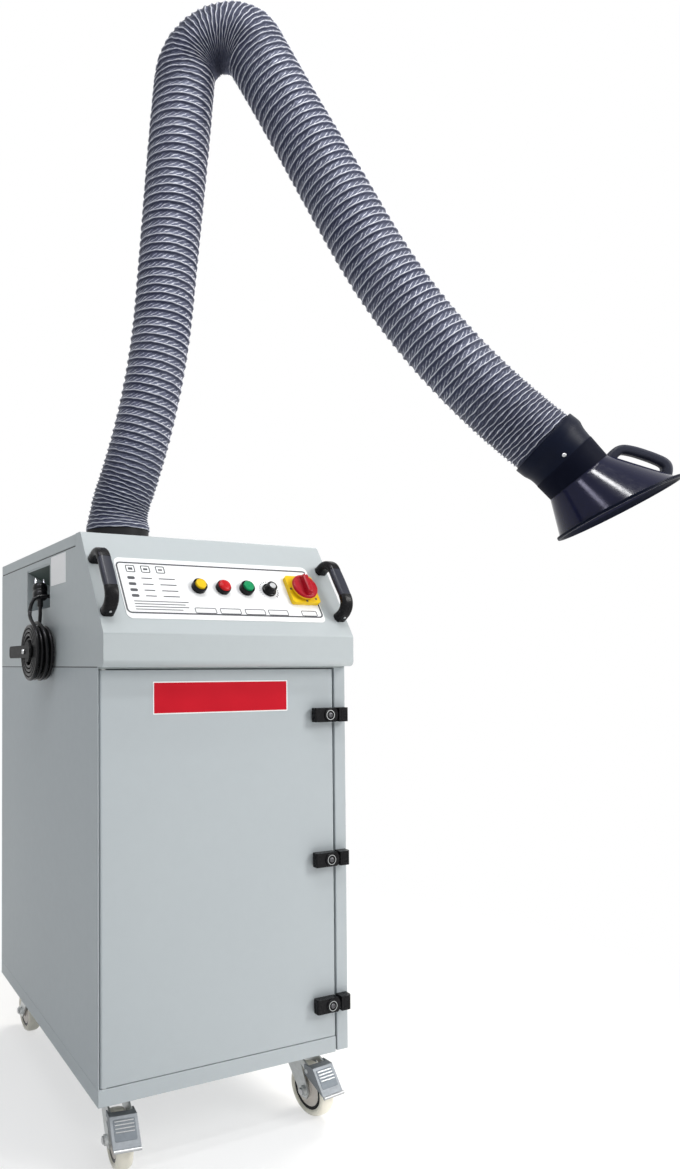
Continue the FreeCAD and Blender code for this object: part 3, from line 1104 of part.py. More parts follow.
gland_stub = cylinder("gland_stub", "gland_radius", "sheet_wall + 2 * gland_flange_tall",
                      ("-gland_flange_tall", "0", "0"), "x")
gland_collar = cylinder("gland_collar", "gland_flange", "gland_flange_tall",
                        ("-gland_flange_tall", "0", "0"), "x")
gland_nut = cylinder("gland_nut", "gland_flange", "gland_flange_tall", ("sheet_wall", "0", "0"), "x")
gland_nose = cylinder("gland_nose", "gland_nose", "gland_nose_tall + gland_flange_tall",
                      ("-gland_nose_tall - gland_flange_tall", "0", "0"), "x")
cord_gland = fused("cord_gland", [gland_stub, gland_collar, gland_nut, gland_nose])
doc.recompute()
node("cord_gland", cord_gland)
put(cord_gland, ("gland_wall_x", "gland_y", "gland_z"))


climb_turns = 0.5
middle_share = 0.5


def coil_point(turns):
    # Place and way of the winding: the radius falls and grows by one step a turn, the layer changes
    # in the half turn around each reversal.
    per_layer = size.coil_turns
    folded = turns % (2 * per_layer)
    radius = size.coil_radius - size.coil_step * (folded if folded <= per_layer else 2 * per_layer - folded)
    rate = -size.coil_step if folded < per_layer else size.coil_step
    layer = round(turns / per_layer)
    from_fold = turns - layer * per_layer
    climb = min(max(from_fold / climb_turns + middle_share, 0.0), 1.0)
    climbing = abs(from_fold) < climb_turns / 2 and 0 < layer < size.coil_layers
    level = layer - 1 + climb if layer > 0 else 0.0
    if abs(from_fold) < tiny:
        rate = 0.0
    angle = math.radians(size.coil_first) + 2 * math.pi * turns
    at = FreeCAD.Vector(size.coil_outer_x + size.coil_layer * level, size.coil_y + radius * math.cos(angle),
                        size.coil_z + radius * math.sin(angle))
    way = FreeCAD.Vector(size.coil_layer / climb_turns if climbing else 0.0,
                         rate * math.cos(angle) - 2 * math.pi * radius * math.sin(angle),
                         rate * math.sin(angle) + 2 * math.pi * radius * math.cos(angle))
    return at, way.normalize()


def arc_edge(start, crossing, end):
    # The arc between two points whose end tangents cross at a third.
    middle = (start + end) * middle_share
    half = (end - start).Length / 2
    rise = (crossing - middle).Length
    if rise < tiny:
        return Part.LineSegment(start, end).toShape()
    sagitta = half * math.tan(math.atan2(rise, half) / 2)
    return Part.Arc(start, middle + (crossing - middle) * (sagitta / rise), end).toShape()


def biarc(start, first_way, end, last_way):
    # Two arcs that leave and arrive along the given ways and share a tangent where they meet.
    gap = end - start
    total = gap * (first_way + last_way)
    spread = 2 * (1 - first_way * last_way)
    reach = (gap * gap) / (2 * total) if spread < tiny else (
        math.sqrt(total * total + spread * (gap * gap)) - total) / spread
    first_crossing = start + first_way * reach
    last_crossing = end - last_way * reach
    meeting = (first_crossing + last_crossing) * middle_share
    return [arc_edge(start, first_crossing, meeting), arc_edge(meeting, last_crossing, end)]


def tube(edges):
    path = Part.Wire(edges)
    start = edges[0].valueAt(edges[0].FirstParameter)
    way = edges[0].tangentAt(edges[0].FirstParameter)
    section = Part.Wire(Part.Circle(start, way, size.cord_radius).toShape())
    shape = path.makePipeShell([section], True, False)
    expected = math.pi * size.cord_radius ** 2 * path.Length
    print("tube", round(path.Length), "volume share", round(shape.Volume / expected, 4))
    return shape


bend_share = 0.45


def bent_route(points):
    # Straight runs joined by tangent arcs at the inner points.
    edges = []
    start = points[0]
    radii = []
    for before, corner, after in zip(points, points[1:], points[2:]):
        come = (corner - before).normalize()
        leave = (after - corner).normalize()
        half_turn = math.acos(max(-1.0, min(1.0, come * leave))) / 2
        trim = bend_share * min((corner - before).Length, (after - corner).Length)
        radii.append(round(trim / math.tan(half_turn), 1))
        edges.append(Part.LineSegment(start, corner - come * trim).toShape())
        edges.append(arc_edge(corner - come * trim, corner, corner + leave * trim))
        start = corner + leave * trim
    edges.append(Part.LineSegment(start, points[-1]).toShape())
    print("bend radii", radii)
    return edges


quarters = [i / 4 for i in range(int(size.coil_quarters) + 1)]
coil_places = [coil_point(turns) for turns in quarters]
coil_edges = []
for (start, first_way), (end, last_way) in zip(coil_places, coil_places[1:]):
    coil_edges += biarc(start, first_way, end, last_way)
straight = 2 * size.cord_radius
coil_start, start_way = coil_places[0]
coil_end, end_lead_way = coil_places[-1]
coil_in = coil_start - start_way * straight
coil_out = coil_end + end_lead_way * straight
coil_edges = ([Part.LineSegment(coil_in, coil_start).toShape()] + coil_edges
              + [Part.LineSegment(coil_end, coil_out).toShape()])
sample_shares = (0.0, 0.25, 0.5, 0.75)
samples = [edge.valueAt(edge.FirstParameter + (edge.LastParameter - edge.FirstParameter) * share)
           for edge in coil_edges for share in sample_shares]
near_turn = 8
least = min((samples[i] - samples[k]).Length for i in range(len(samples))
            for k in range(i + 2 * near_turn, len(samples)))
print("least gap between loops", round(least - 2 * size.cord_radius, 2))
node("cord_coil", solid("cord_coil", tube(coil_edges)))

gland_tip = FreeCAD.Vector(size.gland_wall_x - size.gland_nose_tall - size.gland_flange_tall, size.gland_y,
                           size.gland_z)
lip = FreeCAD.Vector(-size.half_width - size.lead_out, size.gland_y, size.gland_z)
halfway = (gland_tip + lip) * middle_share - FreeCAD.Vector(0, 0, size.lead_sag)
above_coil = coil_in - start_way * size.lead_down
gland_out = gland_tip - axis_x * size.lead_start
lead_in = bent_route([gland_tip, gland_out, halfway, lip, above_coil, coil_in])
node("cord_lead_in", solid("cord_lead_in", tube(lead_in)))

plug_way_shares = (0.12, 0.44, 0.89)
plug_way = FreeCAD.Vector(*plug_way_shares).normalize()
under_plug = coil_out + end_lead_way * size.lead_up
plug_foot = under_plug + plug_way * size.plug_reach
node("cord_lead_out", solid("cord_lead_out", tube(bent_route([coil_out, under_plug, plug_foot]))))

plug_neck = cylinder("plug_neck", "plug_neck", "plug_neck_tall", ("0", "0", "0"))
plug_block = cylinder("plug_block", "plug_radius", "plug_tall", ("0", "0", "plug_neck_tall"))
plug_body = rounded("plug_body", plug_block, size.plug_round,
                    lambda edge: edge.Curve.TypeId == "Part::GeomCircle")
prongs = [cylinder("prong_" + side, "prong_radius", "prong_tall + plug_round",
                   (place, "0", "plug_neck_tall + plug_tall - plug_round"))
          for side, place in (("left", "-prong_half"), ("right", "prong_half"))]
mains_plug = fused("mains_plug", [plug_neck, plug_body] + prongs)
doc.recompute()
node("mains_plug", mains_plug, FreeCAD.Placement(plug_foot, FreeCAD.Rotation(axis_z, plug_way)))

doc.recompute()
faults = [obj.Name for obj in doc.Objects if "Invalid" in obj.State or "Error" in obj.State]
for obj in nodes:
    if obj.Shape.isNull() or not obj.Shape.isValid():
        faults.append(obj.Label)
if faults:
    raise RuntimeError("not built: " + ", ".join(faults))
os.makedirs("parts", exist_ok=True)
for obj in nodes:
    obj.Shape.exportStep("parts/%s.step" % obj.Label)
print(len(nodes), "nodes")
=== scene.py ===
import math

import bmesh
import bpy
import numpy as np
from mathutils import Matrix


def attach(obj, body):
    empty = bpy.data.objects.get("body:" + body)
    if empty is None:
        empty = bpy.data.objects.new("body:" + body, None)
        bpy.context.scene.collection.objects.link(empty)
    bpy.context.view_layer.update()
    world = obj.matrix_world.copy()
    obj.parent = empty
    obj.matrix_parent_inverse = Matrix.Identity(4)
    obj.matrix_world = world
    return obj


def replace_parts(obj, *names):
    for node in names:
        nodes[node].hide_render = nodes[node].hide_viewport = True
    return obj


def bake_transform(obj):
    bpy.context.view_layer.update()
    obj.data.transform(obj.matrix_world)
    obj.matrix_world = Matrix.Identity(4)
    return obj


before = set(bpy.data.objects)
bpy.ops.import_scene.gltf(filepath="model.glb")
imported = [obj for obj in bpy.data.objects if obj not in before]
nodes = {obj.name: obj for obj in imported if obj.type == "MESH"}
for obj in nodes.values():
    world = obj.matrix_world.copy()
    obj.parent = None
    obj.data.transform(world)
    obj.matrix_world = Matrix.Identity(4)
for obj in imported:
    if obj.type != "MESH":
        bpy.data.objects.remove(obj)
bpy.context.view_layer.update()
print("frame loaded", len(nodes), "nodes")

# Sizes shared with the part, in metres
cabinet = {"halfWidth": 0.270, "halfDepth": 0.342, "consoleFloor": 0.908, "consoleTop": 1.164,
           "fasciaProud": 0.029, "fasciaHeight": 0.060, "slopeBack": 0.091}
arm = {"back": 0.220, "turn": math.radians(-38), "collarTop": 1.263, "collarRadius": 0.079, "hoseRadius": 0.076,
       "bore": 0.0660, "runs": [(20.0, 0.080), (-14.5, 0.500), (0.0, 0.578), (148.0, 0.095 * math.radians(148)),
                                (0.0, 0.560), (-20.5, 0.655)]}  # each run turns by degrees over a length


class Wire:
    # One output socket; sums on it add Math nodes.
    def __init__(self, finish, socket):
        self.finish, self.socket = finish, socket

    def calc(self, operation, *values):
        return self.finish.add("ShaderNodeMath", {"operation": operation}, values)

    def __add__(self, other):
        return self.calc("ADD", self, other)

    def __radd__(self, other):
        return self.calc("ADD", other, self)

    def __sub__(self, other):
        return self.calc("SUBTRACT", self, other)

    def __rsub__(self, other):
        return self.calc("SUBTRACT", other, self)

    def __mul__(self, other):
        return self.calc("MULTIPLY", self, other)

    def __rmul__(self, other):
        return self.calc("MULTIPLY", other, self)

    def __truediv__(self, other):
        return self.calc("DIVIDE", self, other)

    def alone(self, operation):
        return self.calc(operation, self)


class Finish:
    # The nodes of a material or a world: add() makes any node, set() fills the shader's sockets.
    def __init__(self, name, family="materials", shader="Principled BSDF"):
        self.block = getattr(bpy.data, family).new(name)
        self.block.use_nodes = True
        self.tree = self.block.node_tree
        self.shader = self.tree.nodes[shader]

    def feed(self, socket, value):
        if isinstance(value, Wire):
            self.tree.links.new(value.socket, socket)
        else:
            socket.default_value = value

    def add(self, kind, settings=None, sockets=(), output=0):
        node = self.tree.nodes.new(kind)
        for key, value in (settings or {}).items():
            if key == "stops":
                ramp = node.color_ramp
                while len(ramp.elements) < len(value):
                    ramp.elements.new(0.5)
                for element, (place, colour) in zip(ramp.elements, value):
                    element.position, element.color = place, (*colour, 1.0)
            else:
                setattr(node, key, value)
        for key, value in sockets.items() if isinstance(sockets, dict) else enumerate(sockets):
            self.feed(node.inputs[key], value)
        return Wire(self, node.outputs[output])

    def objectCoords(self):
        return self.add("ShaderNodeTexCoord", output="Object")

    def noise(self, scale, detail=3.0, stretch=(1.0, 1.0, 1.0)):
        place = self.add("ShaderNodeMapping", {}, {"Vector": self.objectCoords(), "Scale": stretch})
        return self.add("ShaderNodeTexNoise", {}, {"Vector": place, "Scale": scale, "Detail": detail})

    def mixColour(self, share, first, second):
        first, second = (tone if isinstance(tone, Wire) else (*tone, 1.0) for tone in (first, second))
        return self.add("ShaderNodeMix", {"data_type": "RGBA"}, {"Factor": share, 6: first, 7: second}, output=2)

    def bump(self, height, strength, distance):
        return self.add("ShaderNodeBump", {}, {"Strength": strength, "Distance": distance, "Height": height})

    def set(self, **values):
        for key, value in values.items():
            self.feed(self.shader.inputs[key.replace("_", " ")], value)
        return self.block

    def seen(self):
        # 1 for the camera's rays and for those of metal and glass, which show the surround too.
        ray, *others = (self.add("ShaderNodeLightPath", output="Is %s Ray" % kind)
                        for kind in ("Camera", "Glossy", "Transmission"))
        for other in others:
            ray = ray.calc("MAXIMUM", ray, other)
        return ray

    def cover(self, share, shader, ending):
        # A share of the other shader laid over the own one.
        mixed = self.add("ShaderNodeMixShader", {}, [share, Wire(self, self.shader.outputs[0]), shader])
        self.feed(self.tree.nodes[ending].inputs["Surface"], mixed)


def powderCoat(name, light, dark, rough=0.42):
    # Satin powder coat: fine orange peel, broad faint clouds of tone, a little wear in the gloss.
    f = Finish(name)
    clouds = f.noise(2.2, 2.0)
    fine = f.noise(60.0, 4.0)
    peel = f.noise(850.0, 2.0)
    tone = f.mixColour(clouds, light, dark)
    tone = f.mixColour(fine * 0.08, tone, (0.30, 0.32, 0.34))
    return f.set(Base_Color=tone, Roughness=rough + fine * 0.12, Specular_IOR_Level=0.2,
                 Normal=f.bump(peel, 0.10, 0.0004))


def platedSteel(name, colour, rough):
    # Zinc plate: spangled tone, drawn streaks in the gloss.
    f = Finish(name)
    spangle = f.noise(140.0, 3.0)
    streak = f.noise(40.0, 4.0, (1.0, 1.0, 14.0))
    tone = f.mixColour(spangle, colour, tuple(c * 0.72 for c in colour))
    return f.set(Base_Color=tone, Metallic=1.0, Roughness=rough + streak * 0.22,
                 Normal=f.bump(streak, 0.08, 0.0005))


def mouldedPlastic(name, colour, rough, grain=900.0, depth=0.08, shine=0.5):
    # Moulded plastic: fine grain, slight flow marks in the tone, dust in the gloss.
    f = Finish(name)
    flow = f.noise(18.0, 3.0)
    dust = f.noise(120.0, 4.0)
    skin = f.noise(grain, 2.0)
    tone = f.mixColour(flow * 0.5, colour, tuple(min(1.0, c * 1.35 + 0.004) for c in colour))
    return f.set(Base_Color=tone, Roughness=rough + dust * 0.14, Specular_IOR_Level=shine,
                 Normal=f.bump(skin, depth, 0.0003))


def ink(name, colour, rough):
    # Printed ink: specks of a paler tone, also in the gloss.
    f = Finish(name)
    speck = f.noise(700.0, 3.0)
    return f.set(Base_Color=f.mixColour(speck * 0.10, colour, (0.5, 0.5, 0.5)), Roughness=rough + speck * 0.1)


# Crease lines, painted pale as highlights, are (count round, slant, width); tones run from the palest to the darkest
cloth = {"wireWidth": 0.0015, "lineWidth": 0.19, "steep": (27.0, -2.1, 0.15), "cross": (19.0, 0.8, 0.10),
         "crossShare": 0.25, "stain": 0.14, "dirt": (0.36, 0.37, 0.40),
         "tones": [(0.0, (0.80, 0.805, 0.84)), (0.16, (0.49, 0.505, 0.575)), (0.48, (0.098, 0.108, 0.165)),
                   (1.0, (0.011, 0.015, 0.044))]}


def hoseFabric(name):
    # Coated fabric over a wire: u goes once round, v counts ribs, so v's fraction runs from wire to wire.
    # Depth of tone: dark cloth, darker where ribs sit close (painted shade in the close folds), a painted shade line
    # below each wire, pale slanting crease lines that are painted highlights, pale wires, painted shade in the inner
    # bend.
    f = Finish(name)
    uv = f.add("ShaderNodeUVMap", {"uv_map": "hoseCloth"})
    u = f.add("ShaderNodeSeparateXYZ", {}, [uv], output="X")
    share = f.add("ShaderNodeSeparateXYZ", {}, [uv], output="Y").alone("FRACT")
    pitch, tight, below, squeezed = (f.add("ShaderNodeAttribute", {"attribute_name": key}, output="Fac")
                                     for key in ("pitch", "tight", "below", "squeezed"))
    stain = f.noise(9.0, 4.0)
    crease = f.noise(70.0, 4.0)
    nearest = share.calc("MINIMUM", share, 1.0 - share)

    def bell(offset, width):
        return (offset / width * (offset / width) * -1.0).alone("EXPONENT")

    def creaseLines(count, slant, width):
        drift = crease * 0.9 + stain * 2.0
        return bell((share * slant + u * count + drift).alone("FRACT") - 0.5, width)

    wire = bell(nearest * pitch, cloth["wireWidth"])
    # Painted highlights: pale slanting lines along the fabric's creases; the same lines also raise the bump.
    creaseAndHighlight = creaseLines(*cloth["steep"]) * (0.45 + crease * 0.9) + creaseLines(*cloth["cross"]) * cloth["crossShare"]
    # Painted shade: a dark line just below each wire, on the side turned away from the light above.
    line = bell(share - below, cloth["lineWidth"])
    # Darker where ribs sit close: painted shade in the close folds.
    depth = 0.72 + tight * 0.28 + line * 0.46 - creaseAndHighlight * (0.60 - tight * 0.24) * (1.0 - line * 0.6)
    depth = depth * (1.0 - wire * 0.92)
    # Painted shade in the inner bend of the elbow.
    depth = depth.calc("MAXIMUM", depth, squeezed)
    tone = f.add("ShaderNodeValToRGB", {"stops": cloth["tones"]}, [depth])
    tone = f.mixColour(stain * cloth["stain"], tone, cloth["dirt"])
    return f.set(Base_Color=tone, Metallic=0.15, Roughness=0.38 + crease * 0.2, Specular_IOR_Level=0.12,
                 Normal=f.bump(crease + creaseAndHighlight, 0.30, 0.0012))


greyPaint = powderCoat("greyPaint", (0.495, 0.540, 0.560), (0.460, 0.500, 0.525))
palePaint = powderCoat("palePaint", (0.520, 0.565, 0.580), (0.490, 0.530, 0.545), 0.38)
innerPaint = powderCoat("innerPaint", (0.40, 0.44, 0.44), (0.34, 0.38, 0.38), 0.5)
# Dark green for the sheet under the pocket's ceiling: painted shade.
pocketPaint = powderCoat("pocketPaint", (0.060, 0.085, 0.075), (0.045, 0.065, 0.060), 0.5)
zincSteel = platedSteel("zincSteel", (0.60, 0.62, 0.62), 0.34)
brightSteel = platedSteel("brightSteel", (0.56, 0.57, 0.58), 0.24)
darkSteel = platedSteel("darkSteel", (0.16, 0.16, 0.17), 0.30)
pedalSteel = platedSteel("pedalSteel", (0.27, 0.29, 0.31), 0.44)
insetSteel = platedSteel("insetSteel", (0.17, 0.19, 0.21), 0.42)
duralumin = platedSteel("duralumin", (0.46, 0.47, 0.49), 0.36)
blackPlastic = mouldedPlastic("blackPlastic", (0.006, 0.006, 0.007), 0.20, shine=0.13)
blackMatt = mouldedPlastic("blackMatt", (0.012, 0.012, 0.013), 0.42, shine=0.10)
handleBar = mouldedPlastic("handleBar", (0.022, 0.024, 0.036), 0.26, 500.0, 0.05, shine=0.18)
hoodShell = mouldedPlastic("hoodShell", (0.005, 0.006, 0.027), 0.09, 60.0, 0.004, shine=0.16)
neckRubber = mouldedPlastic("neckRubber", (0.002, 0.004, 0.014), 0.34, 300.0, 0.03, shine=0.08)
sleeveBlack = mouldedPlastic("sleeveBlack", (0.003, 0.004, 0.011), 0.50, 300.0, 0.03, shine=0.03)
gripBlack = mouldedPlastic("gripBlack", (0.030, 0.033, 0.050), 0.34, 400.0, 0.04, shine=0.14)
filmWhite = mouldedPlastic("filmWhite", (0.86, 0.87, 0.88), 0.34, 1400.0, 0.04)
stickerWhite = mouldedPlastic("stickerWhite", (0.95, 0.95, 0.96), 0.40, 1400.0, 0.04)
redFilm = mouldedPlastic("redFilm", (0.52, 0.006, 0.018), 0.36, 1200.0, 0.04, shine=0.12)
yellowPlastic = mouldedPlastic("yellowPlastic", (0.80, 0.52, 0.01), 0.25, shine=0.16)
redPlastic = mouldedPlastic("redPlastic", (0.50, 0.006, 0.010), 0.20, shine=0.16)
dialRed = mouldedPlastic("dialRed", (0.38, 0.004, 0.014), 0.22, shine=0.16)
greenPlastic = mouldedPlastic("greenPlastic", (0.006, 0.27, 0.10), 0.22, shine=0.16)
creamNylon = mouldedPlastic("creamNylon", (0.84, 0.79, 0.67), 0.40, 400.0, 0.1)
hubGrey = mouldedPlastic("hubGrey", (0.64, 0.59, 0.54), 0.42)
cordJacket = mouldedPlastic("cordJacket", (0.006, 0.006, 0.007), 0.22, 700.0, 0.06, shine=0.18)
sealFoam = mouldedPlastic("sealFoam", (0.02, 0.02, 0.02), 0.8, 300.0, 0.4)
filterMedia = mouldedPlastic("filterMedia", (0.78, 0.78, 0.74), 0.85, 250.0, 0.5)
darkInk = ink("darkInk", (0.018, 0.020, 0.030), 0.55)
silverFabric = hoseFabric("silverFabric")
print("finishes ready")


def placeObject(name, data):
    # An object at the origin, in the scene.
    placed = bpy.data.objects.new(name, data)
    bpy.context.collection.objects.link(placed)
    return placed


def rework(mesh, job):
    # One job on the mesh as a bmesh, written back.
    work = bmesh.new()
    work.from_mesh(mesh)
    job(work)
    work.to_mesh(mesh)
    work.free()


def makePiece(name, points, faces, materials, slots=None, smooth=True, mend=True):
    # Points and faces become one object at the origin, with outward faces.
    mesh = bpy.data.meshes.new(name)
    mesh.from_pydata(np.asarray(points, float).reshape(-1, 3).tolist(), [], faces)
    for material in materials if isinstance(materials, list) else [materials]:
        mesh.materials.append(material)
    if slots is not None:
        mesh.polygons.foreach_set("material_index", np.asarray(slots, dtype=np.int32))
    if mend:
        rework(mesh, lambda work: bmesh.ops.recalc_face_normals(work, faces=work.faces))
    mesh.polygons.foreach_set("use_smooth", np.full(len(mesh.polygons), smooth))
    mesh.update()
    return placeObject(name, mesh)


def gridFaces(rows, columns, closeRows=False):
    # Quads between neighbouring rows of a grid of points whose columns run once round.
    a, b = np.meshgrid(np.arange(rows if closeRows else rows - 1), np.arange(columns), indexing="ij")
    nextRow, nextColumn = (a + 1) % rows, (b + 1) % columns
    quads = np.stack([a * columns + b, nextRow * columns + b, nextRow * columns + nextColumn,
                      a * columns + nextColumn], -1)
    return quads.reshape(-1, 4).tolist()


def ringSolid(name, rings, materials, bands=None, smooth=True, angle=35.0):
    # Rings of equal count joined into a closed skin with flat ends; bands gives each stretch its material.
    rings = np.asarray(rings, float)
    rows, columns = rings.shape[:2]
    faces = gridFaces(rows, columns)
    slots = np.repeat(bands if bands is not None else np.zeros(rows - 1), columns).astype(int).tolist()
    faces += [list(range(columns))[::-1], list(range((rows - 1) * columns, rows * columns))]
    slots += [slots[0], slots[-1]]
    piece = makePiece(name, rings, faces, materials, slots, smooth)
    if smooth:
        sharpen(piece, angle)
    return piece


def sharpen(piece, angle):
    # Edges that turn by more than the angle stay crisp.
    def markEdges(work):
        for edge in work.edges:
            edge.smooth = len(edge.link_faces) == 2 and edge.calc_face_angle(0.0) < math.radians(angle)

    rework(piece.data, markEdges)


def unit(v):
    # A vector over its own length.
    return np.asarray(v, float) / np.linalg.norm(v)


def fullTurn(count):
    # Even angles once round.
    return np.linspace(0, 2 * np.pi, count, endpoint=False)


def standing(axes, place):
    # A matrix with three axes and a place as its columns.
    return Matrix(np.vstack([np.column_stack([*axes, place]), (0, 0, 0, 1)]).tolist())


def axesFor(direction):
    # Two unit vectors square to a direction.
    d = unit(direction)
    side = unit(np.cross(d, (0.0, 0.0, 1.0) if abs(d[2]) < 0.9 else (1.0, 0.0, 0.0)))
    return side, np.cross(d, side), d


def millimetres(*pairs):
    # Pairs of millimetres, such as (radius, height), as metres.
    return [(a / 1000, b / 1000) for a, b in pairs]


def turnedRings(centre, direction, profile, count):
    # One circle about the axis for each (radius, height) corner.
    side, up, d = axesFor(direction)
    radius, height = np.asarray(profile, float).T
    turn = fullTurn(count)
    circle = np.cos(turn)[:, None] * side + np.sin(turn)[:, None] * up
    return np.asarray(centre) + height[:, None, None] * d + radius[:, None, None] * circle


def lathe(name, centre, direction, profile, materials, bands=None, count=48, angle=35.0):
    # Corners turned about an axis through the centre, with flat ends.
    return ringSolid(name, turnedRings(centre, direction, profile, count), materials, bands, True, angle)


def latheRing(name, centre, direction, profile, materials, bands=None, count=56, angle=35.0):
    # A closed outline of (radius, height) turned about an axis: a ring with a bore.
    rings = turnedRings(centre, direction, profile, count)
    slots = None if bands is None else np.repeat(bands, count)
    piece = makePiece(name, rings, gridFaces(len(rings), count, True), materials, slots)
    sharpen(piece, angle)
    return piece


def roundedRect(width, height, radius, steps=6):
    # Outline of a rectangle whose corners are quarter circles.
    quarter = np.linspace(0, np.pi / 2, steps)
    corners = []
    for i, (sx, sy) in enumerate(((1, 1), (-1, 1), (-1, -1), (1, -1))):
        a = quarter + i * np.pi / 2
        corners.append(np.stack([sx * (width / 2 - radius) + radius * np.cos(a),
                                 sy * (height / 2 - radius) + radius * np.sin(a)], -1))
    return np.concatenate(corners)


smallestCorner = 0.0002


def lifted(place, flat, z):
    # A flat outline set at a height in a frame of (origin, across, up, out).
    origin, across, up, out = (np.asarray(v, float) for v in place)
    return origin + flat[:, :1] * across + flat[:, 1:] * up + z * out


def plate(name, place, width, height, thick, radius, material, ease=0.0003, z0=0.0):
    # A thin rounded plate with eased upper edges.
    rings = [lifted(place, roundedRect(width - 2 * inset, height - 2 * inset, max(radius - inset, smallestCorner)), z)
             for inset, z in ((0.0, z0), (0.0, z0 + thick - ease), (ease, z0 + thick))]
    return ringSolid(name, rings, material, smooth=False)


def frameLine(name, place, width, height, line, radius, material, thick=0.00025, z0=0.0):
    # A flat outline: a thin rounded ring standing just proud of its plate.
    outer = roundedRect(width, height, radius)
    inner = roundedRect(width - 2 * line, height - 2 * line, max(radius - line, smallestCorner))
    rings = [lifted(place, flat, z)
             for flat, z in ((outer, z0), (outer, z0 + thick), (inner, z0 + thick), (inner, z0))]
    return makePiece(name, rings, gridFaces(4, len(outer), True), material, smooth=False)


def sweep(name, path, section, material, sideHint, scales=None, angle=35.0):
    # A flat section (across, out) carried along a path; scales sizes it at each point.
    path = np.asarray(path, float)
    tangent = np.gradient(path, axis=0)
    tangent /= np.linalg.norm(tangent, axis=1)[:, None]
    across = np.asarray(sideHint, float) - (tangent @ np.asarray(sideHint, float))[:, None] * tangent
    across /= np.linalg.norm(across, axis=1)[:, None]
    out = np.cross(across, tangent)
    section = np.asarray(section, float)
    scales = np.ones((len(path), 2)) if scales is None else np.asarray(scales, float)
    rings = (path[:, None, :] + (section[None, :, :1] * scales[:, None, :1]) * across[:, None, :]
             + (section[None, :, 1:] * scales[:, None, 1:]) * out[:, None, :])
    return ringSolid(name, rings, material, angle=angle)


def smoothPath(points, count):
    # A curve through the points: each stretch is a cubic with tangents from its neighbours.
    p = np.asarray(points, float)
    ends = np.vstack([2 * p[0] - p[1], p, 2 * p[-1] - p[-2]])
    u = np.linspace(0, len(p) - 1 - 1e-9, count)
    i = u.astype(int)
    t = (u - i)[:, None]
    a, b, c, d = ends[i], ends[i + 1], ends[i + 2], ends[i + 3]
    return 0.5 * (2 * b + (c - a) * t + (2 * a - 5 * b + 4 * c - d) * t ** 2 + (3 * b - a - 3 * c + d) * t ** 3)


def screwHead(name, centre, direction, radius, tall, material, body):
    # A domed head with a dished middle, in shares of its radius and height.
    profile = [(radius, -tall * 0.3), (radius, tall * 0.45), (radius * 0.82, tall * 0.85), (radius * 0.45, tall),
               (radius * 0.42, tall * 0.55), (0.0001, tall * 0.5)]
    piece = lathe(name, centre, direction, profile, material, count=24, angle=50.0)
    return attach(piece, body)


# Cabinet frames of reference
slopeRun = cabinet["slopeBack"] + cabinet["fasciaProud"]
slopeRise = cabinet["consoleTop"] - cabinet["consoleFloor"] - cabinet["fasciaHeight"]
slopeLength = math.hypot(slopeRun, slopeRise)
slopeUp = np.array([0.0, slopeRun, slopeRise]) / slopeLength
slopeOut = np.array([0.0, -slopeRise, slopeRun]) / slopeLength
slopeZero = np.array([0.0, -cabinet["halfDepth"] - cabinet["fasciaProud"],
                      cabinet["consoleFloor"] + cabinet["fasciaHeight"]])
across, upright = np.array([1.0, 0, 0]), np.array([0, 0, 1.0])
frontward, leftward = np.array([0, -1.0, 0]), np.array([-1.0, 0, 0])
bothSides = ((-1, "left"), (1, "right"))


def onSlope(x, up, out=0.0):
    # A point of the console's slope: so far to the right, up the slope and out of it.
    return slopeZero + x * across + up * slopeUp + out * slopeOut


def slopeFrame(x, up):
    # Origin and axes of a plate on the slope.
    return onSlope(x, up), across, slopeUp, slopeOut


# Hose: the middle line is six straight or evenly bent runs in the arm's upright plane
runStarts = np.concatenate([[0.0], np.cumsum([length for turn, length in arm["runs"]])])
hoseLength = runStarts[-1]
armOut = np.array([math.cos(arm["turn"]), math.sin(arm["turn"]), 0.0])
armSide = np.array([-math.sin(arm["turn"]), math.cos(arm["turn"]), 0.0])
armBase = np.array([0.0, arm["back"], 0.0])


def hoseLine(stations):
    # Out, up and heading from straight up at lengths along the middle line.
    s = np.asarray(stations, float)
    out, up, heading = np.zeros_like(s), arm["collarTop"] + np.minimum(s, 0), np.zeros_like(s)
    for (turn, length), begin in zip(arm["runs"], runStarts):
        part = np.clip(s - begin, 0, length)
        bend = math.radians(turn) * part / length
        if turn:
            radius = length / math.radians(turn)
            out = out + radius * (np.cos(heading) - np.cos(heading + bend))
            up = up + radius * (np.sin(heading + bend) - np.sin(heading))
        else:
            out = out + part * np.sin(heading)
            up = up + part * np.cos(heading)
        heading = heading + bend
    return out, up, heading


def armPoint(out, up, side=0.0):
    # Points from lengths out along the arm, up and to its side.
    return armBase + sum(np.multiply.outer(np.asarray(length, float), way)
                         for length, way in ((out, armOut), (up, upright), (side, armSide)))


hose = {"tightPitch": 0.0092, "midPitch": 0.0205, "wristPitch": 0.0095, "elbowPitch": 0.0105, "tightLength": 0.06,
        "wristLength": 0.06, "opening": 0.22, "elbowReach": 0.17, "perRib": 10, "round": 96, "sag": 0.0036,
        "wire": 0.0010, "wireReach": 0.08, "fold": 0.0009, "wobble": 0.08, "cuff": -0.010, "cuffRadius": 0.0806,
        "cuffRib": 0.0012, "flare": 0.045, "swell": 0.045, "swellAt": (1.02, 0.30), "waistAt": (1.55, 0.25),
        "tuck": 0.006, "tuckRadius": 0.0735, "lowerEnd": 0.62, "upperStart": 2.02, "closePitch": 0.0100,
        "pitchSpan": 0.0090, "squeezeFrom": 0.62, "squeezeSpan": 0.40, "bend": 0.035}
apexStation = (runStarts[3] + runStarts[4]) / 2


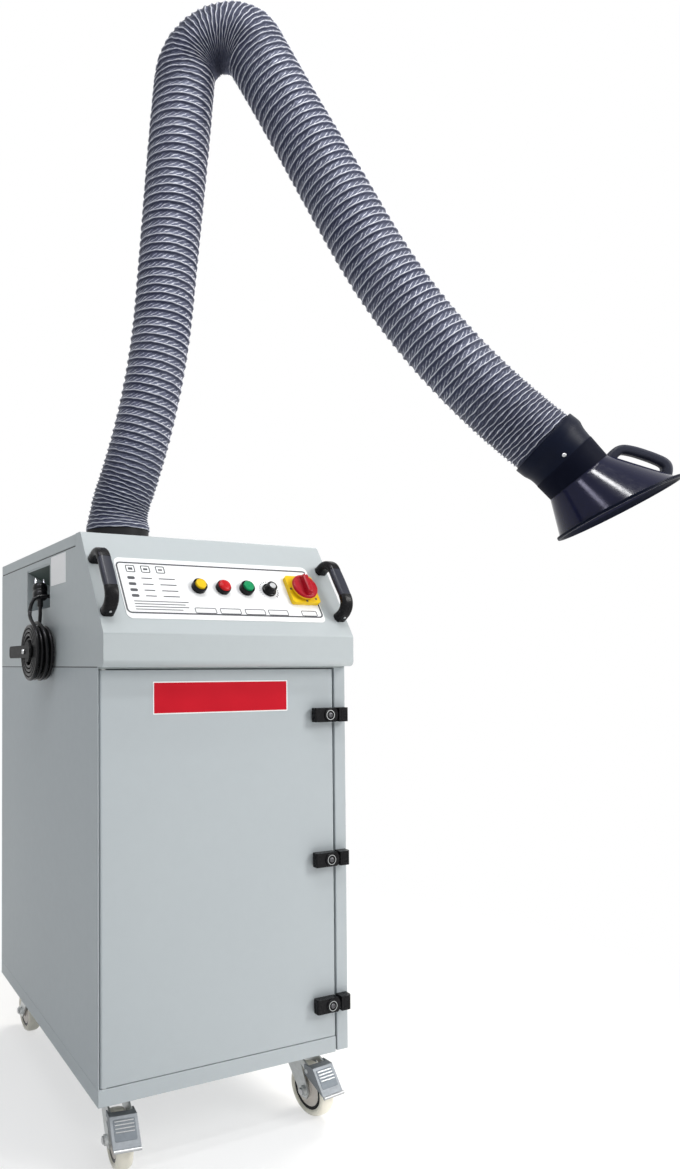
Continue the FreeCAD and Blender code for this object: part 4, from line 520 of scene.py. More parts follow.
def hosePitch(s):
    # Ribs sit close at the base, in the elbow and at the hood, and open between.
    base = np.clip((s - hose["tightLength"]) / hose["opening"], 0, 1)
    wrist = np.clip((s - hoseLength + hose["wristLength"]) / hose["opening"] + 1, 0, 1)
    pitch = hose["tightPitch"] + (hose["midPitch"] - hose["tightPitch"]) * base * base * (3 - 2 * base)
    pitch = pitch + (hose["wristPitch"] - pitch) * wrist * wrist * (3 - 2 * wrist)
    return pitch + (hose["elbowPitch"] - pitch) * np.exp(-((s - apexStation) / hose["elbowReach"]) ** 4)


fineStations = np.linspace(hose["cuff"], hoseLength, 4001)
finePitch = hosePitch((fineStations[1:] + fineStations[:-1]) / 2)
ribCount = np.concatenate([[0], np.cumsum(np.diff(fineStations) / finePitch)])


def hosePiece(name, first, last):
    # Radius = wire radius less a slack curve, deepest under the upper wire, plus uneven folds from wire to wire.
    ribFirst, ribLast = np.interp([first, last], fineStations, ribCount)
    rows = int(round((ribLast - ribFirst) * hose["perRib"])) + 1
    ribs = np.linspace(ribFirst, ribLast, rows)
    stations, along = np.interp(ribs, ribCount, fineStations), ribs[:, None]
    out, up, heading = hoseLine(stations)
    theta = fullTurn(hose["round"])
    sway = (np.sin(8 * theta + 1.9 * along) + 0.6 * np.sin(13 * theta - 2.7 * along)
            + 0.5 * np.sin(21 * theta + 4.3 * along))
    tight = 1 - np.clip((hosePitch(stations) - hose["closePitch"]) / hose["pitchSpan"], 0, 1)[:, None]
    phase = along + theta[None, :] / (2 * np.pi) + hose["wobble"] * (0.2 + 0.9 * tight) * sway
    share = phase - np.floor(phase)
    deepest = 0.5 + 0.24 * np.cos(heading)[:, None]
    warped = np.where(share < deepest, 0.5 * share / deepest, 0.5 + 0.5 * (share - deepest) / (1 - deepest))
    slack = 4 * warped * (1 - warped)
    folds = (0.6 * np.sin(7 * theta + 3.1 * along) + 0.5 * np.sin(15 * theta - 5.3 * along)
             + 0.45 * np.sin(25 * theta + 7.7 * along + 1.0))
    nearest = np.minimum(share, 1 - share)
    swell, narrow = (np.exp(-((stations - centre) / reach) ** 2)
                     for centre, reach in (hose["swellAt"], hose["waistAt"]))
    swollen = (1 + hose["swell"] * (swell - narrow))[:, None]
    radius = (arm["hoseRadius"] * swollen - hose["wire"] - hose["sag"] * slack ** 0.8
              + hose["wire"] * np.exp(-(nearest / hose["wireReach"]) ** 2) + hose["fold"] * folds * slack)
    curl = np.gradient(heading, stations)[:, None]
    stretch = 1 - arm["hoseRadius"] * np.cos(theta) * curl
    # Painted shade in the inner bend, where the fabric is pressed together: darker where the stretch is least.
    squeezed = np.clip((hose["squeezeFrom"] - stretch) / hose["squeezeSpan"], 0, 1) * (0.45 + 0.55 * slack)
    # Where the painted shade line sits in each rib: just below the wire on the side turned down, set by the heading.
    below = 0.5 + 0.34 * np.tanh(3 * np.cos(heading))[:, None]
    radius = np.where(hoseLength - stations[:, None] < hose["tuck"], np.minimum(radius, hose["tuckRadius"]), radius)
    cuffed = np.clip(1 - stations / hose["flare"], 0, 1)[:, None] ** 2
    radius = radius + cuffed * (hose["cuffRadius"] + hose["cuffRib"] * (1 - slack) - radius)
    ringOut = np.stack([np.cos(heading), -np.sin(heading)], -1)

    def place(r):
        o = out[:, None] + r * np.cos(theta) * ringOut[:, :1]
        z = up[:, None] + r * np.cos(theta) * ringOut[:, 1:]
        return armPoint(o, z, r * np.sin(theta))

    bore = np.where(stations < 0.001, arm["collarRadius"] + 0.0004, arm["bore"])[:, None] + np.zeros_like(radius)
    within = np.linspace(rows - 1, 0, rows // hose["perRib"]).astype(int)
    points = np.concatenate([place(radius), place(bore)[within]])
    piece = makePiece(name, points, gridFaces(len(points), hose["round"], True), silverFabric, mend=False)

    def faceOutwards(work):
        if work.calc_volume(signed=True) < 0:
            bmesh.ops.reverse_faces(work, faces=work.faces)

    rework(piece.data, faceOutwards)
    order = np.concatenate([np.arange(rows), within])
    for key, values in (("pitch", hosePitch(stations)[:, None]), ("tight", tight), ("below", below),
                        ("squeezed", squeezed)):
        field = piece.data.attributes.new(key, "FLOAT", "POINT")
        field.data.foreach_set("value", (values + np.zeros_like(radius))[order].astype(np.float32).ravel())
    layer = piece.data.uv_layers.new(name="hoseCloth")
    loops = np.empty(len(piece.data.loops), dtype=np.int32)
    piece.data.loops.foreach_get("vertex_index", loops)
    column = loops.reshape(-1, 4) % hose["round"]
    seam = (column == 0) & (column.max(1, keepdims=True) == hose["round"] - 1)
    u = column / hose["round"] + seam
    v = phase[order].ravel()[loops].reshape(-1, 4) + seam
    layer.data.foreach_set("uv", np.stack([u, v], -1).astype(np.float32).ravel())
    return piece


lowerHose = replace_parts(hosePiece("hoseLowerRun", hose["cuff"], hose["lowerEnd"]), "hose_shoulder")
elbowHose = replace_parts(hosePiece("hoseElbowRun", hose["lowerEnd"], hose["upperStart"]),
                        "hose_lower", "hose_elbow", "hose_upper")
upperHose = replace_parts(hosePiece("hoseUpperRun", hose["upperStart"], hoseLength), "hose_wrist")
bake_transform(lowerHose)
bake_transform(elbowHose)
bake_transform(upperHose)
print("hose ready", round(ribCount[-1]), "ribs")

# Hood: a collar band, a neck and a slanting cone with a rolled rim
hood = {"waist": (0.073, -0.086), "mouth": (0.152, -0.162), "waistTurn": math.radians(141.0),
        "mouthTurn": math.radians(153.6), "mouthRoll": math.radians(3.0), "neckRadius": 0.074, "waistRadius": 0.070,
        "mouthRadius": 0.128, "rimRadius": 0.133, "wall": 0.003, "collar": 0.030, "waistMark": 0.42, "neckEnd": 0.415,
        "lip": 0.0016, "shoulder": 0.0036, "sleeve": 0.0008, "sleeveFrom": 0.42, "round": 96,
        "screwAt": 0.12, "screwTurn": 75}
endOut, endUp, endHeading = (v[0] for v in hoseLine([hoseLength]))


def hoodRing(place, heading, radius, shift=0.0, roll=0.0):
    # A circle of the hood, square to its heading; the roll tips it about its own first axis.
    turn = fullTurn(hood["round"])
    first = radius * np.cos(turn)
    side = radius * np.sin(turn) * math.cos(roll) - shift * math.sin(roll)
    ahead = radius * np.sin(turn) * math.sin(roll) + shift * math.cos(roll)
    return armPoint(endOut + place[0] + first * math.cos(heading) + ahead * math.sin(heading),
                    endUp + place[1] - first * math.sin(heading) + ahead * math.cos(heading), side)


def mouthRing(radius, shift=0.0):
    # A circle of the slanting mouth.
    return hoodRing(hood["mouth"], hood["mouthTurn"], radius, shift, hood["mouthRoll"])


def hoodSkin(t, inset=0.0):
    # Straight lines join the neck (0), waist (0.42) and mouth (1) circles; a negative inset stands proud.
    waist = hoodRing(hood["waist"], hood["waistTurn"], hood["waistRadius"] - inset)
    if t < hood["waistMark"]:
        neck = hoodRing((0.0, 0.0), endHeading, hood["neckRadius"] - inset, hood["collar"])
        return neck + t / hood["waistMark"] * (waist - neck)
    mouth = mouthRing(hood["mouthRadius"] - inset)
    return waist + (t - hood["waistMark"]) / (1 - hood["waistMark"]) * (mouth - waist)


collarProfile = millimetres((0, 70.2), (0, 77.2), (0.6, 78.4), (2, 79), (10, 79), (18, 79), (23, 78.8), (27, 78.3))
rimProfile = millimetres((-7.2, 127.2), (-6.8, 132), (-5.6, 133), (-4.2, 133), (-3.6, 131.8), (-3, 133),
                         (-1.2, 133), (0, 131.8), (0, 126.2), (-4, 124.5))
hoodRings = [hoodRing((0.0, 0.0), endHeading, radius, shift) for shift, radius in collarProfile]
neckShares = np.linspace(0, 1, 15)
sleeveBand = len(hoodRings) + int(np.sum(neckShares <= hood["sleeveFrom"]))
for share in neckShares:
    if share > hood["sleeveFrom"] and len(hoodRings) == sleeveBand:
        hoodRings.append(hoodSkin(hood["neckEnd"] * 0.40))
    proud = hood["shoulder"] * max(0.0, 1 - share / 0.28) ** 2 + hood["sleeve"] * (share > hood["sleeveFrom"])
    hoodRings.append(hoodSkin(hood["neckEnd"] * share, -proud))
neckBand = len(hoodRings)
hoodRings.append(hoodSkin(0.416, -hood["lip"]))
for share in np.linspace(0, 1, 18):
    hoodRings.append(hoodSkin(0.424 + 0.531 * share, -hood["lip"] * (1 - share)))
rimBand = len(hoodRings)
hoodRings += [mouthRing(radius, shift) for shift, radius in rimProfile]
hoodRings += [hoodSkin(t, hood["wall"]) for t in np.linspace(0.94, 0.0, 16)]
hoodBands = np.zeros(len(hoodRings), int)
hoodBands[:sleeveBand] = 1
hoodBands[sleeveBand:neckBand] = 2
hoodBands[rimBand:rimBand + len(rimProfile)] = 1
hoodPiece = makePiece("hoodSkin", np.asarray(hoodRings), gridFaces(len(hoodRings), hood["round"], True),
                      [hoodShell, neckRubber, sleeveBlack], np.repeat(hoodBands, hood["round"]))
sharpen(hoodPiece, 24.0)
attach(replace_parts(hoodPiece, "hood"), "hood")

# The grip runs from the waist over the cone to the rim, in shares of that stretch
gripStart, gripEnd = (np.array([endOut + out - radius * math.cos(turn), endUp + up + radius * math.sin(turn)])
                      for (out, up), radius, turn in ((hood["waist"], hood["waistRadius"], hood["waistTurn"]),
                                                      (hood["mouth"], hood["rimRadius"], hood["mouthTurn"])))
gripWay = gripEnd - gripStart
gripOut = np.array([-gripWay[1], gripWay[0]])
gripShares = [(0.050, -0.06), (0.095, 0.09), (0.160, 0.160), (0.290, 0.184), (0.440, 0.186), (0.600, 0.178),
              (0.725, 0.156), (0.790, 0.095), (0.825, -0.05)]
gripFlat = np.array([gripStart + a * gripWay + b * gripOut for a, b in gripShares])
gripPath = armPoint(*smoothPath(gripFlat, 60).T)
gripSection = roundedRect(0.026, 0.0205, 0.0075, 6)
swell = 1 + 0.12 * np.linspace(-1, 1, 60) ** 4
gripPiece = sweep("hoodGrip", gripPath, gripSection, gripBlack, armSide, np.stack([np.ones(60), swell], -1))
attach(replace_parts(gripPiece, "hood_grip"), "hood")
print("hood ready")

# Mains cord: one length from the gland over the coil to the plug
cord = {"length": 4.55, "radius": 0.004, "coilRadius": 0.061, "turns": 4, "step": 0.0087, "layer": 0.0105,
        "outerX": -0.3115, "coilY": -0.055, "coilZ": 0.940, "first": math.radians(120), "quarters": 63,
        "perTurn": 24, "gland": (-0.198, -0.045, 1.060), "lip": (-0.300, -0.045, 1.060)}


def coilPoint(turns):
    # The radius falls and grows by one step a turn; the layer changes in the half turn around each reversal.
    folded = np.mod(turns, 2 * cord["turns"])
    radius = cord["coilRadius"] - cord["step"] * np.where(folded <= cord["turns"], folded, 2 * cord["turns"] - folded)
    layer = np.round(turns / cord["turns"])
    climb = np.clip(2 * (turns - layer * cord["turns"]) + 0.5, 0, 1)
    level = np.where(layer > 0, layer - 1 + climb, 0.0)
    angle = cord["first"] + 2 * np.pi * turns
    return np.stack([cord["outerX"] + cord["layer"] * level, cord["coilY"] + radius * np.cos(angle),
                     cord["coilZ"] + radius * np.sin(angle)], -1)


coilTurns = cord["quarters"] / 4
coilPoints = coilPoint(np.linspace(0, coilTurns, int(coilTurns * cord["perTurn"]) + 1))
startWay = unit(coilPoint(np.array([0.002]))[0] - coilPoints[0])
endWay = unit(coilPoints[-1] - coilPoint(np.array([coilTurns - 0.002]))[0])
coilIn, coilOut = coilPoints[0] - 0.008 * startWay, coilPoints[-1] + 0.008 * endWay
glandTip, lip = np.array(cord["gland"]), np.array(cord["lip"])
halfway = (glandTip + lip) / 2 - 0.004 * upright
aboveCoil = coilIn - 0.040 * startWay
glandOut = glandTip + 0.014 * leftward
plugWay = unit([0.12, 0.44, 0.89])
underPlug = coilOut + 0.040 * endWay
plugFoot = underPlug + 0.030 * plugWay
route = np.array([glandTip, glandOut, halfway, lip, aboveCoil, coilIn, *coilPoints, coilOut, underPlug, plugFoot])
curve = bpy.data.curves.new("mainsCord", "CURVE")
curve.dimensions = "3D"
curve.bevel_depth = cord["radius"]
curve.bevel_resolution = 3
curve.resolution_u = 3
spline = curve.splines.new("NURBS")
spline.points.add(len(route) - 1)
spline.points.foreach_set("co", np.column_stack([route, np.ones(len(route))]).ravel())
spline.order_u = 3
spline.use_endpoint_u = True
curve.materials.append(cordJacket)
mainsCord = placeObject("mainsCord", curve)
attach(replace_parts(mainsCord, "cord_coil", "cord_lead_in", "cord_lead_out"), "cabinet")

# Plug: ribbed strain relief, moulded body, two round pins
plugProfile = millimetres((4.2, -2))
for z in (0, 3, 6, 9, 12):
    plugProfile += millimetres((5.8, z), (6.2, z + 0.6), (6.2, z + 1.6), (5.2, z + 2.2))
plugProfile += millimetres((6.2, 15.5), (10.5, 17.5), (15, 21.5), (16, 26), (16, 33), (15, 34.5), (15, 38.5),
                           (16, 40), (16, 49), (15, 51.8), (12, 52), (0.1, 52))
plugPiece = lathe("plugBody", plugFoot, plugWay, plugProfile, cordJacket, count=40)
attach(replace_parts(plugPiece, "mains_plug"), "cabinet")
pins = []
plugSide = unit(across - plugWay[0] * plugWay)
for sign, side in bothSides:
    foot = plugFoot + 0.0515 * plugWay + sign * 0.0095 * plugSide
    pin = lathe("plugPin" + side.capitalize(), foot, plugWay,
                millimetres((2.4, 0), (2.4, 16.5), (1.9, 18.5), (0.1, 19)), brightSteel, count=20)
    pins.append(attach(pin, "cabinet"))
[plugPiece] + pins
print("cord ready", len(route), "points")

# Finishes of the CAD nodes that stay as they are
nodeFinish = {
    greyPaint: ("base_plinth", "left_side_panel", "right_side_panel", "back_panel", "door_panel", "inlet_duct"),
    palePaint: ("console_shell", "top_cover"),
    innerPaint: ("front_frame", "deck_plate", "filter_shelf", "fan_scroll", "fan_motor", "electrics_box"),
    filterMedia: ("prefilter_panel", "main_filter"), sealFoam: ("door_seal",), filmWhite: ("control_plate",),
    duralumin: ("fan_impeller", "lower_arm_link", "upper_arm_link"), blackMatt: ("cord_hanger", "turntable"),
    zincSteel: ("caster_plates", "caster_fork", "hinge_pins"), pedalSteel: ("brake_pedal",),
    creamNylon: ("caster_wheel",), redPlastic: ("pilot_lamp", "switch_dial"), greenPlastic: ("green_button",),
    yellowPlastic: ("switch_plate", "yellow_button"),
    blackPlastic: ("cord_gland", "latch_", "button_bezels", "speed_knob", "pull_handles")}
edgeEase = {"door_panel": 0.0012, "left_side_panel": 0.0008, "right_side_panel": 0.0008, "base_plinth": 0.0012,
            "console_shell": 0.0008, "top_cover": 0.0015, "latch_keepers": 0.002, "cord_hanger": 0.001,
            "switch_plate": 0.0015, "inlet_duct": 0.0008, "turntable": 0.001, "latch_lever": 0.0008,
            "caster_fork": 0.0008, "brake_pedal": 0.0008}
for name, node in nodes.items():
    for material, starts in nodeFinish.items():
        if name.startswith(starts):
            node.data.materials.clear()
            node.data.materials.append(material)
    for start, ease in edgeEase.items():
        if name.startswith(start):
            weld = node.modifiers.new("weld", "WELD")
            weld.merge_threshold = 0.00002
            bevel = node.modifiers.new("ease", "BEVEL")
            bevel.width, bevel.segments, bevel.limit_method, bevel.angle_limit = ease, 2, "ANGLE", math.radians(40)
            bevel.use_clamp_overlap = True
print("node finishes ready")

# Plates: the red plate on the door and the sticker beside the pocket
doorFace = -cabinet["halfDepth"]
redPlate = {"x": -0.016, "z": 0.851, "width": 0.288, "height": 0.056, "edge": 0.0022}
redFrame = ((redPlate["x"], doorFace, redPlate["z"]), across, upright, frontward)
for piece in (plate("redDoorPlate", redFrame, redPlate["width"], redPlate["height"], 0.0009, 0.0012, redFilm),
              frameLine("redPlateEdge", redFrame, redPlate["width"] + 2 * redPlate["edge"],
                        redPlate["height"] + 2 * redPlate["edge"], redPlate["edge"], 0.002, filmWhite, 0.0007)):
    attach(piece, "door")
sideFrame = ((-cabinet["halfWidth"], -0.118, 1.1065), frontward, upright, leftward)
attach(plate("blankSticker", sideFrame, 0.096, 0.060, 0.0005, 0.002, stickerWhite, 0.0002), "cabinet")

# Dark strips in the seams on the pocket side, under the lid and under the console: painted shade in the gaps
for name, y, z, long, tall, x in (("lidSeam", 0.059, 1.140, 0.562, 0.0022, -0.2692),
                                  ("consoleSeam", 0.0, 0.908, 0.682, 0.0016, -0.2697)):
    seamFrame = ((x, y, z), frontward, upright, leftward)
    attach(plate(name, seamFrame, long, tall, 0.0006, 0.0006, blackMatt, 0.0002), "cabinet")

# Filter cassette behind the door: a plated edge frame, pleats standing in it and two pull straps
cassette = {"face": -0.3017, "z": 0.611, "width": 0.452, "height": 0.266, "edge": 0.024, "pleats": 44,
            "depth": 0.0024, "strap": 0.120, "strapLong": 0.110, "strapBow": 0.0055, "strapLift": 0.0030,
            "rivet": 0.046, "rivetLift": 0.0050}
cassetteFrame = ((0.0, cassette["face"], cassette["z"]), across, upright, frontward)
cassetteEdge = frameLine("cassetteEdge", cassetteFrame, cassette["width"], cassette["height"], cassette["edge"],
                         0.003, zincSteel, 0.0030)
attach(cassetteEdge, "cabinet")
pleatX = np.linspace(0.5, -0.5, 4 * cassette["pleats"] + 1) * (cassette["width"] - 2 * cassette["edge"] + 0.002)
pleatOut = cassette["depth"] * np.abs(np.mod(np.arange(len(pleatX)) / 2 + 1, 2) - 1) + 0.0002
pleatFlat = np.concatenate([np.stack([pleatX, pleatOut], -1), [[pleatX[-1], 0.0], [pleatX[0], 0.0]]])
pleatRings = [[(x, cassette["face"] - out, z) for x, out in pleatFlat]
              for z in cassette["z"] + np.array([-0.5, 0.5]) * (cassette["height"] - 2 * cassette["edge"] + 0.002)]
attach(ringSolid("cassettePleats", pleatRings, filterMedia, smooth=False), "cabinet")
for sign, side in bothSides:
    strapX = sign * cassette["strap"]
    strapPath = [(strapX + t * cassette["strapLong"] / 2,
                  cassette["face"] - cassette["strapLift"] - cassette["strapBow"] * (1 - t ** 4), cassette["z"])
                 for t in np.linspace(-1, 1, 25)]
    strap = sweep(side + "FilterStrap", strapPath, roundedRect(0.022, 0.0018, 0.0008), blackMatt, upright)
    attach(strap, "cabinet")
    for t in (-1, 1):
        spot = (strapX + t * cassette["rivet"], cassette["face"] - cassette["rivetLift"], cassette["z"])
        screwHead("%sStrapRivet%s" % (side, "In" if t * sign < 0 else "Out"), spot, frontward, 0.0042, 0.0018,
                  brightSteel, "cabinet")

# Dark sheet under the pocket's sloping ceiling: painted shade in the recess
shadeSheet = {"mouth": (-0.2680, 1.1232), "wall": (-0.1845, 1.0792), "y": 0.0235, "length": 0.169, "thick": 0.0006}
shadeSheetMouth, shadeSheetWall = (np.array([x, shadeSheet["y"], z]) for x, z in (shadeSheet["mouth"], shadeSheet["wall"]))
shadeSheetRun = shadeSheetWall - shadeSheetMouth
shadeSheetFrame = ((shadeSheetWall + shadeSheetMouth) / 2, unit(shadeSheetRun), -frontward, unit(np.cross(-frontward, shadeSheetRun)))
shadeSheetPiece = plate("pocketLiner", shadeSheetFrame, np.linalg.norm(shadeSheetRun), shadeSheet["length"], shadeSheet["thick"], 0.001,
                   pocketPaint)
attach(shadeSheetPiece, "cabinet")

# Control plate print: frame line, label frames, square icon frames, ruled rows, tick scale
panel = {"row": 0.107, "pitch": 0.053, "switch": 0.182, "film": 0.001, "ink": 0.0002, "ticks": 19, "tickRing": 0.0205,
         "capOut": 0.0065, "knobOut": 0.0013, "dialOut": 0.0153}


def printFrame(name, x, up, wide, tall, line, radius):
    # An inked outline on the control plate.
    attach(frameLine(name, slopeFrame(x, up), wide, tall, line, radius, darkInk, z0=panel["film"]), "cabinet")


def printBar(name, place, wide, tall, radius):
    # An inked bar on the control plate.
    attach(plate(name, place, wide, tall, panel["ink"], radius, darkInk, 0.00005, panel["film"]), "cabinet")


printFrame("panelFrame", 0.0, 0.102, 0.430, 0.118, 0.0032, 0.010)
for i, (x, wide) in enumerate(((-0.052, 0.046), (0.002, 0.046), (0.057, 0.046), (0.110, 0.046), (0.183, 0.037))):
    printFrame("labelFrame%d" % i, x, 0.053, wide, 0.0130, 0.0015, 0.0030)
for i, x in enumerate((-0.187, -0.156, -0.125)):
    printFrame("iconFrame%d" % i, x, 0.1455, 0.019, 0.017, 0.0019, 0.003)
    printBar("iconMark%d" % i, slopeFrame(x, 0.1455), 0.009, 0.0055 - 0.001 * i, 0.001)
for i, up in enumerate((0.124, 0.110, 0.096, 0.083)):
    for name, x, wide, tall, radius in (("rowDot", -0.190, 0.015, 0.0065, 0.0025),
                                        ("rowRule", -0.158, 0.022, 0.0023, 0.0006),
                                        ("rowTail", -0.116, 0.034, 0.0023, 0.0006)):
        printBar("%s%d" % (name, i), slopeFrame(x, up), wide, tall, radius)
for i, (up, wide) in enumerate(((0.0705, 0.112), (0.0645, 0.104), (0.0585, 0.110), (0.0525, 0.096))):
    printBar("noteRule%d" % i, slopeFrame(-0.196 + wide / 2, up), wide, 0.0018, 0.0005)
for i in range(panel["ticks"]):
    turn = math.radians(225 - 270 * i / (panel["ticks"] - 1))
    ray = math.cos(turn) * across + math.sin(turn) * slopeUp
    spot = onSlope(2 * panel["pitch"], panel["row"]) + panel["tickRing"] * ray
    printBar("scaleTick%d" % i, (spot, np.cross(slopeOut, ray), ray, slopeOut), 0.0008 + 0.00008 * i,
             0.0016 + 0.00012 * i, 0.0003)
print("plates and print ready")

# Buttons, lamp, knob and main switch
capProfile = millimetres((11, 0), (11, 8.4), (10.7, 9.4), (10, 9.9), (9.2, 9.7), (8.6, 9), (6, 9.2), (3, 9.4),
                         (0.1, 9.5))
bezelProfile = millimetres((15, 0), (15, 9), (14.7, 10.6), (13.8, 11.4), (12.4, 11.4), (11.7, 10.6), (11.6, 0))
lensProfile = millimetres((15, 0), (15, 7.8), (14.6, 9.2), (13.6, 9.9), (12.8, 9.9), (12.6, 11.6), (11.8, 13),
                          (10, 13.9), (7, 14.4), (0.1, 14.6))
for name, x, material in (("yellow", -panel["pitch"], yellowPlastic), ("green", panel["pitch"], greenPlastic)):
    cap = lathe(name + "Cap", onSlope(x, panel["row"], panel["capOut"]), slopeOut, capProfile, material, count=48)
    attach(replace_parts(cap, name + "_button"), name + "_button")
    name + "_plastic"
    bezel = latheRing(name + "Bezel", onSlope(x, panel["row"], panel["film"]), slopeOut, bezelProfile, blackPlastic)
    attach(bezel, "cabinet")
    if name == "yellow":
        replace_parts(bezel, "button_bezels")
lampSpot = onSlope(0.0, panel["row"], panel["film"])
lens = lathe("lampLens", lampSpot, slopeOut, lensProfile, [blackPlastic, redPlastic], [0] * 4 + [1] * 5)
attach(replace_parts(lens, "pilot_lamp"), "cabinet")

# The knob's radius falls by up to half a millimetre in 18 flutes
knobSpot = onSlope(2 * panel["pitch"], panel["row"], panel["knobOut"])
turn = fullTurn(96)
flutes = 0.0005 * (0.5 + 0.5 * np.cos(18 * turn))
knobRings = []
for radius, z, flute in ((0.0150, 0.0, 0), (0.0150, 0.0028, 0), (0.0143, 0.0038, 0), (0.0124, 0.0042, 0),
                         (0.0120, 0.0050, 1), (0.0110, 0.0150, 1), (0.0104, 0.0164, 0.4), (0.0094, 0.0170, 0),
                         (0.0066, 0.0171, 0), (0.0062, 0.0175, 0), (0.0001, 0.0176, 0)):
    flat = (radius - flute * flutes)[:, None] * np.stack([np.cos(turn), np.sin(turn)], -1)
    knobRings.append(lifted((knobSpot, across, slopeUp, slopeOut), flat, z))
knob = ringSolid("speedKnob", knobRings, [blackPlastic, brightSteel], [0] * 8 + [1] * 2)
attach(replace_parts(knob, "speed_knob"), "speed_knob")
pointer = plate("knobPointer", (knobSpot + 0.0130 * slopeUp, across, slopeUp, slopeOut), 0.0016, 0.0038, 0.0046,
                0.0004, filmWhite)
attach(pointer, "speed_knob")

dialSpot = onSlope(panel["switch"], panel["row"], panel["dialOut"])
dialProfile = millimetres((29, 0), (29, 1.4), (28.4, 2), (28, 5.2), (27.2, 6.4), (25.8, 7), (0.1, 7))
dial = lathe("switchDial", dialSpot, slopeOut, dialProfile, [dialRed, yellowPlastic], [1, 1, 0, 0, 0, 0], count=72)
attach(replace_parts(dial, "switch_dial"), "switch_dial")
barRings = []
for z, inset in ((0.0060, 0.0), (0.0150, 0.0006), (0.0178, 0.0014), (0.0188, 0.0030), (0.0190, 0.0046)):
    flat = roundedRect(0.0140 - 2 * inset, 0.0480 - 2 * inset, 0.0068 - inset, 8)
    barRings.append(lifted((dialSpot, across, slopeUp, slopeOut), flat, z))
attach(ringSolid("switchBar", barRings, dialRed), "switch_dial")
mark = plate("switchMark", (dialSpot + 0.0205 * slopeUp, across, slopeUp, slopeOut), 0.0022, 0.0050, 0.0004, 0.0006,
             filmWhite, 0.0001, 0.0189)
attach(mark, "switch_dial")
for i, (x, s) in enumerate(((-0.0285, 0.0), (0.0, -0.0290), (0.0235, -0.0235))):
    mark = plate("switchTick%d" % i, slopeFrame(panel["switch"] + x, panel["row"] + s), 0.0045, 0.0045, 0.0003,
                 0.0008, darkInk, 0.0001, 0.0100)
    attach(mark, "cabinet")
print("controls ready")

# Pull handles: an oval satin bar between two glossy moulded ends
grip = {"x": 0.254, "low": 0.045, "high": 0.163, "barLow": 0.073, "barHigh": 0.135, "axis": 0.0392, "width": 0.026,
        "wall": 0.0152, "footDeep": 0.0205, "endDeep": 0.0160, "screw": (0.0095, 0.014)}
oval = roundedRect(grip["width"], grip["wall"], 0.0072, 8)
for sign, side in bothSides:
    x = sign * grip["x"]
    steps = np.linspace(grip["barLow"] - 0.002, grip["barHigh"] + 0.002, 25)
    swell = 1 + 0.05 * np.sin(np.pi * np.linspace(0, 1, 25))
    bar = sweep(side + "HandleBar", [onSlope(x, s, grip["axis"]) for s in steps], oval, handleBar, across,
                np.stack([swell * 0.985, swell * 0.97], -1), 60.0)
    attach(bar, "cabinet")
    if sign < 0:
        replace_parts(bar, "pull_handles")
    for end, foot, joint in (("Low", grip["low"], grip["barLow"]), ("High", grip["high"], grip["barHigh"])):
        way = 1 if end == "Low" else -1
        flat = [(foot, 0.0), (foot, 0.010), (foot + way * 0.001, 0.020), (foot + way * 0.0065, 0.0305),
                (foot + way * 0.0165, 0.0372), (joint, grip["axis"])]
        line = smoothPath(flat, 26)
        share = np.linspace(0, 1, 26)
        wide = 1.03 - 0.02 * share
        deep = (grip["footDeep"] + (grip["endDeep"] - grip["footDeep"]) * share ** 0.7) / grip["wall"]
        cap = sweep(side + "HandleEnd" + end, [onSlope(x, s, o) for s, o in line], oval, blackPlastic, across,
                    np.stack([wide, deep], -1), 50.0)
        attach(cap, "cabinet")
        spot = onSlope(x, foot - way * grip["screw"][0], grip["screw"][1])
        screwHead(side + "HandleScrew" + end, spot, -way * slopeUp, 0.0024, 0.0016, brightSteel, "cabinet")
print("handles ready")

# Latch pivots with their screws
latch = {"x": 0.219, "keeperX": 0.2535, "levels": {"bottom": 0.237, "middle": 0.524, "top": 0.811}, "proud": 0.018,
         "keeperProud": 0.019}
pivotProfile = millimetres((13.5, -1), (13.5, 1.2), (12.8, 2.2), (9.8, 2.8), (8.6, 2.8), (8, 1.8), (0.1, 1.8))
for level, z in latch["levels"].items():
    spot = np.array([latch["x"], doorFace - latch["proud"], z])
    pivot = lathe("latchPivot" + level, spot, frontward, pivotProfile, [blackPlastic, zincSteel], [0, 0, 0, 1, 0, 0],
                  count=40)
    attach(pivot, "latch_" + level)
    screwHead("latchScrew" + level, spot + 0.0020 * frontward, frontward, 0.0050, 0.0022, darkSteel, "latch_" + level)
    keeperSpot = (latch["keeperX"], doorFace - latch["keeperProud"], z)
    groove = frameLine("keeperLine" + level, (keeperSpot, across, upright, frontward), 0.0130, 0.0200, 0.0010, 0.004,
                       blackMatt, 0.0006)
    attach(groove, "cabinet")

# Casters: moulded wheels with a cream tread, a black ring and a beige hub; ribbed brake pedals
wheelHalf = millimetres((6.2, 16), (12.5, 16), (15, 15.2), (15.6, 13.6), (31.2, 12.6), (32.2, 13.2), (37.2, 13.2),
                        (38.2, 14.2), (39.7, 15.6), (43, 16), (46.5, 14.5), (48.8, 10.8), (49.8, 6), (50, 0))
wheelProfile = [(r, -h) for r, h in wheelHalf] + [(r, h) for r, h in wheelHalf[-2::-1]]
halfBands = [1] * 4 + [2] * 2 + [0] * 7
wheelBands = halfBands + halfBands[::-1] + [1]
boltProfile = millimetres((6.8, -1), (6.8, 3.4), (5.6, 4.2), (0.1, 4.2))
caster = {"x": 0.208, "y": 0.262, "trail": 0.038, "axle": 0.050, "bolt": 0.028, "pedalTop": (0.069, 0.107),
          "pedalFoot": (0.101, 0.062), "inset": 0.0225, "ribs": 4, "ribFirst": 0.0086, "ribStep": 0.0056,
          "lipHalf": 0.0255, "headings": {"front_left": -8, "front_right": 6, "rear_left": 180, "rear_right": 180}}
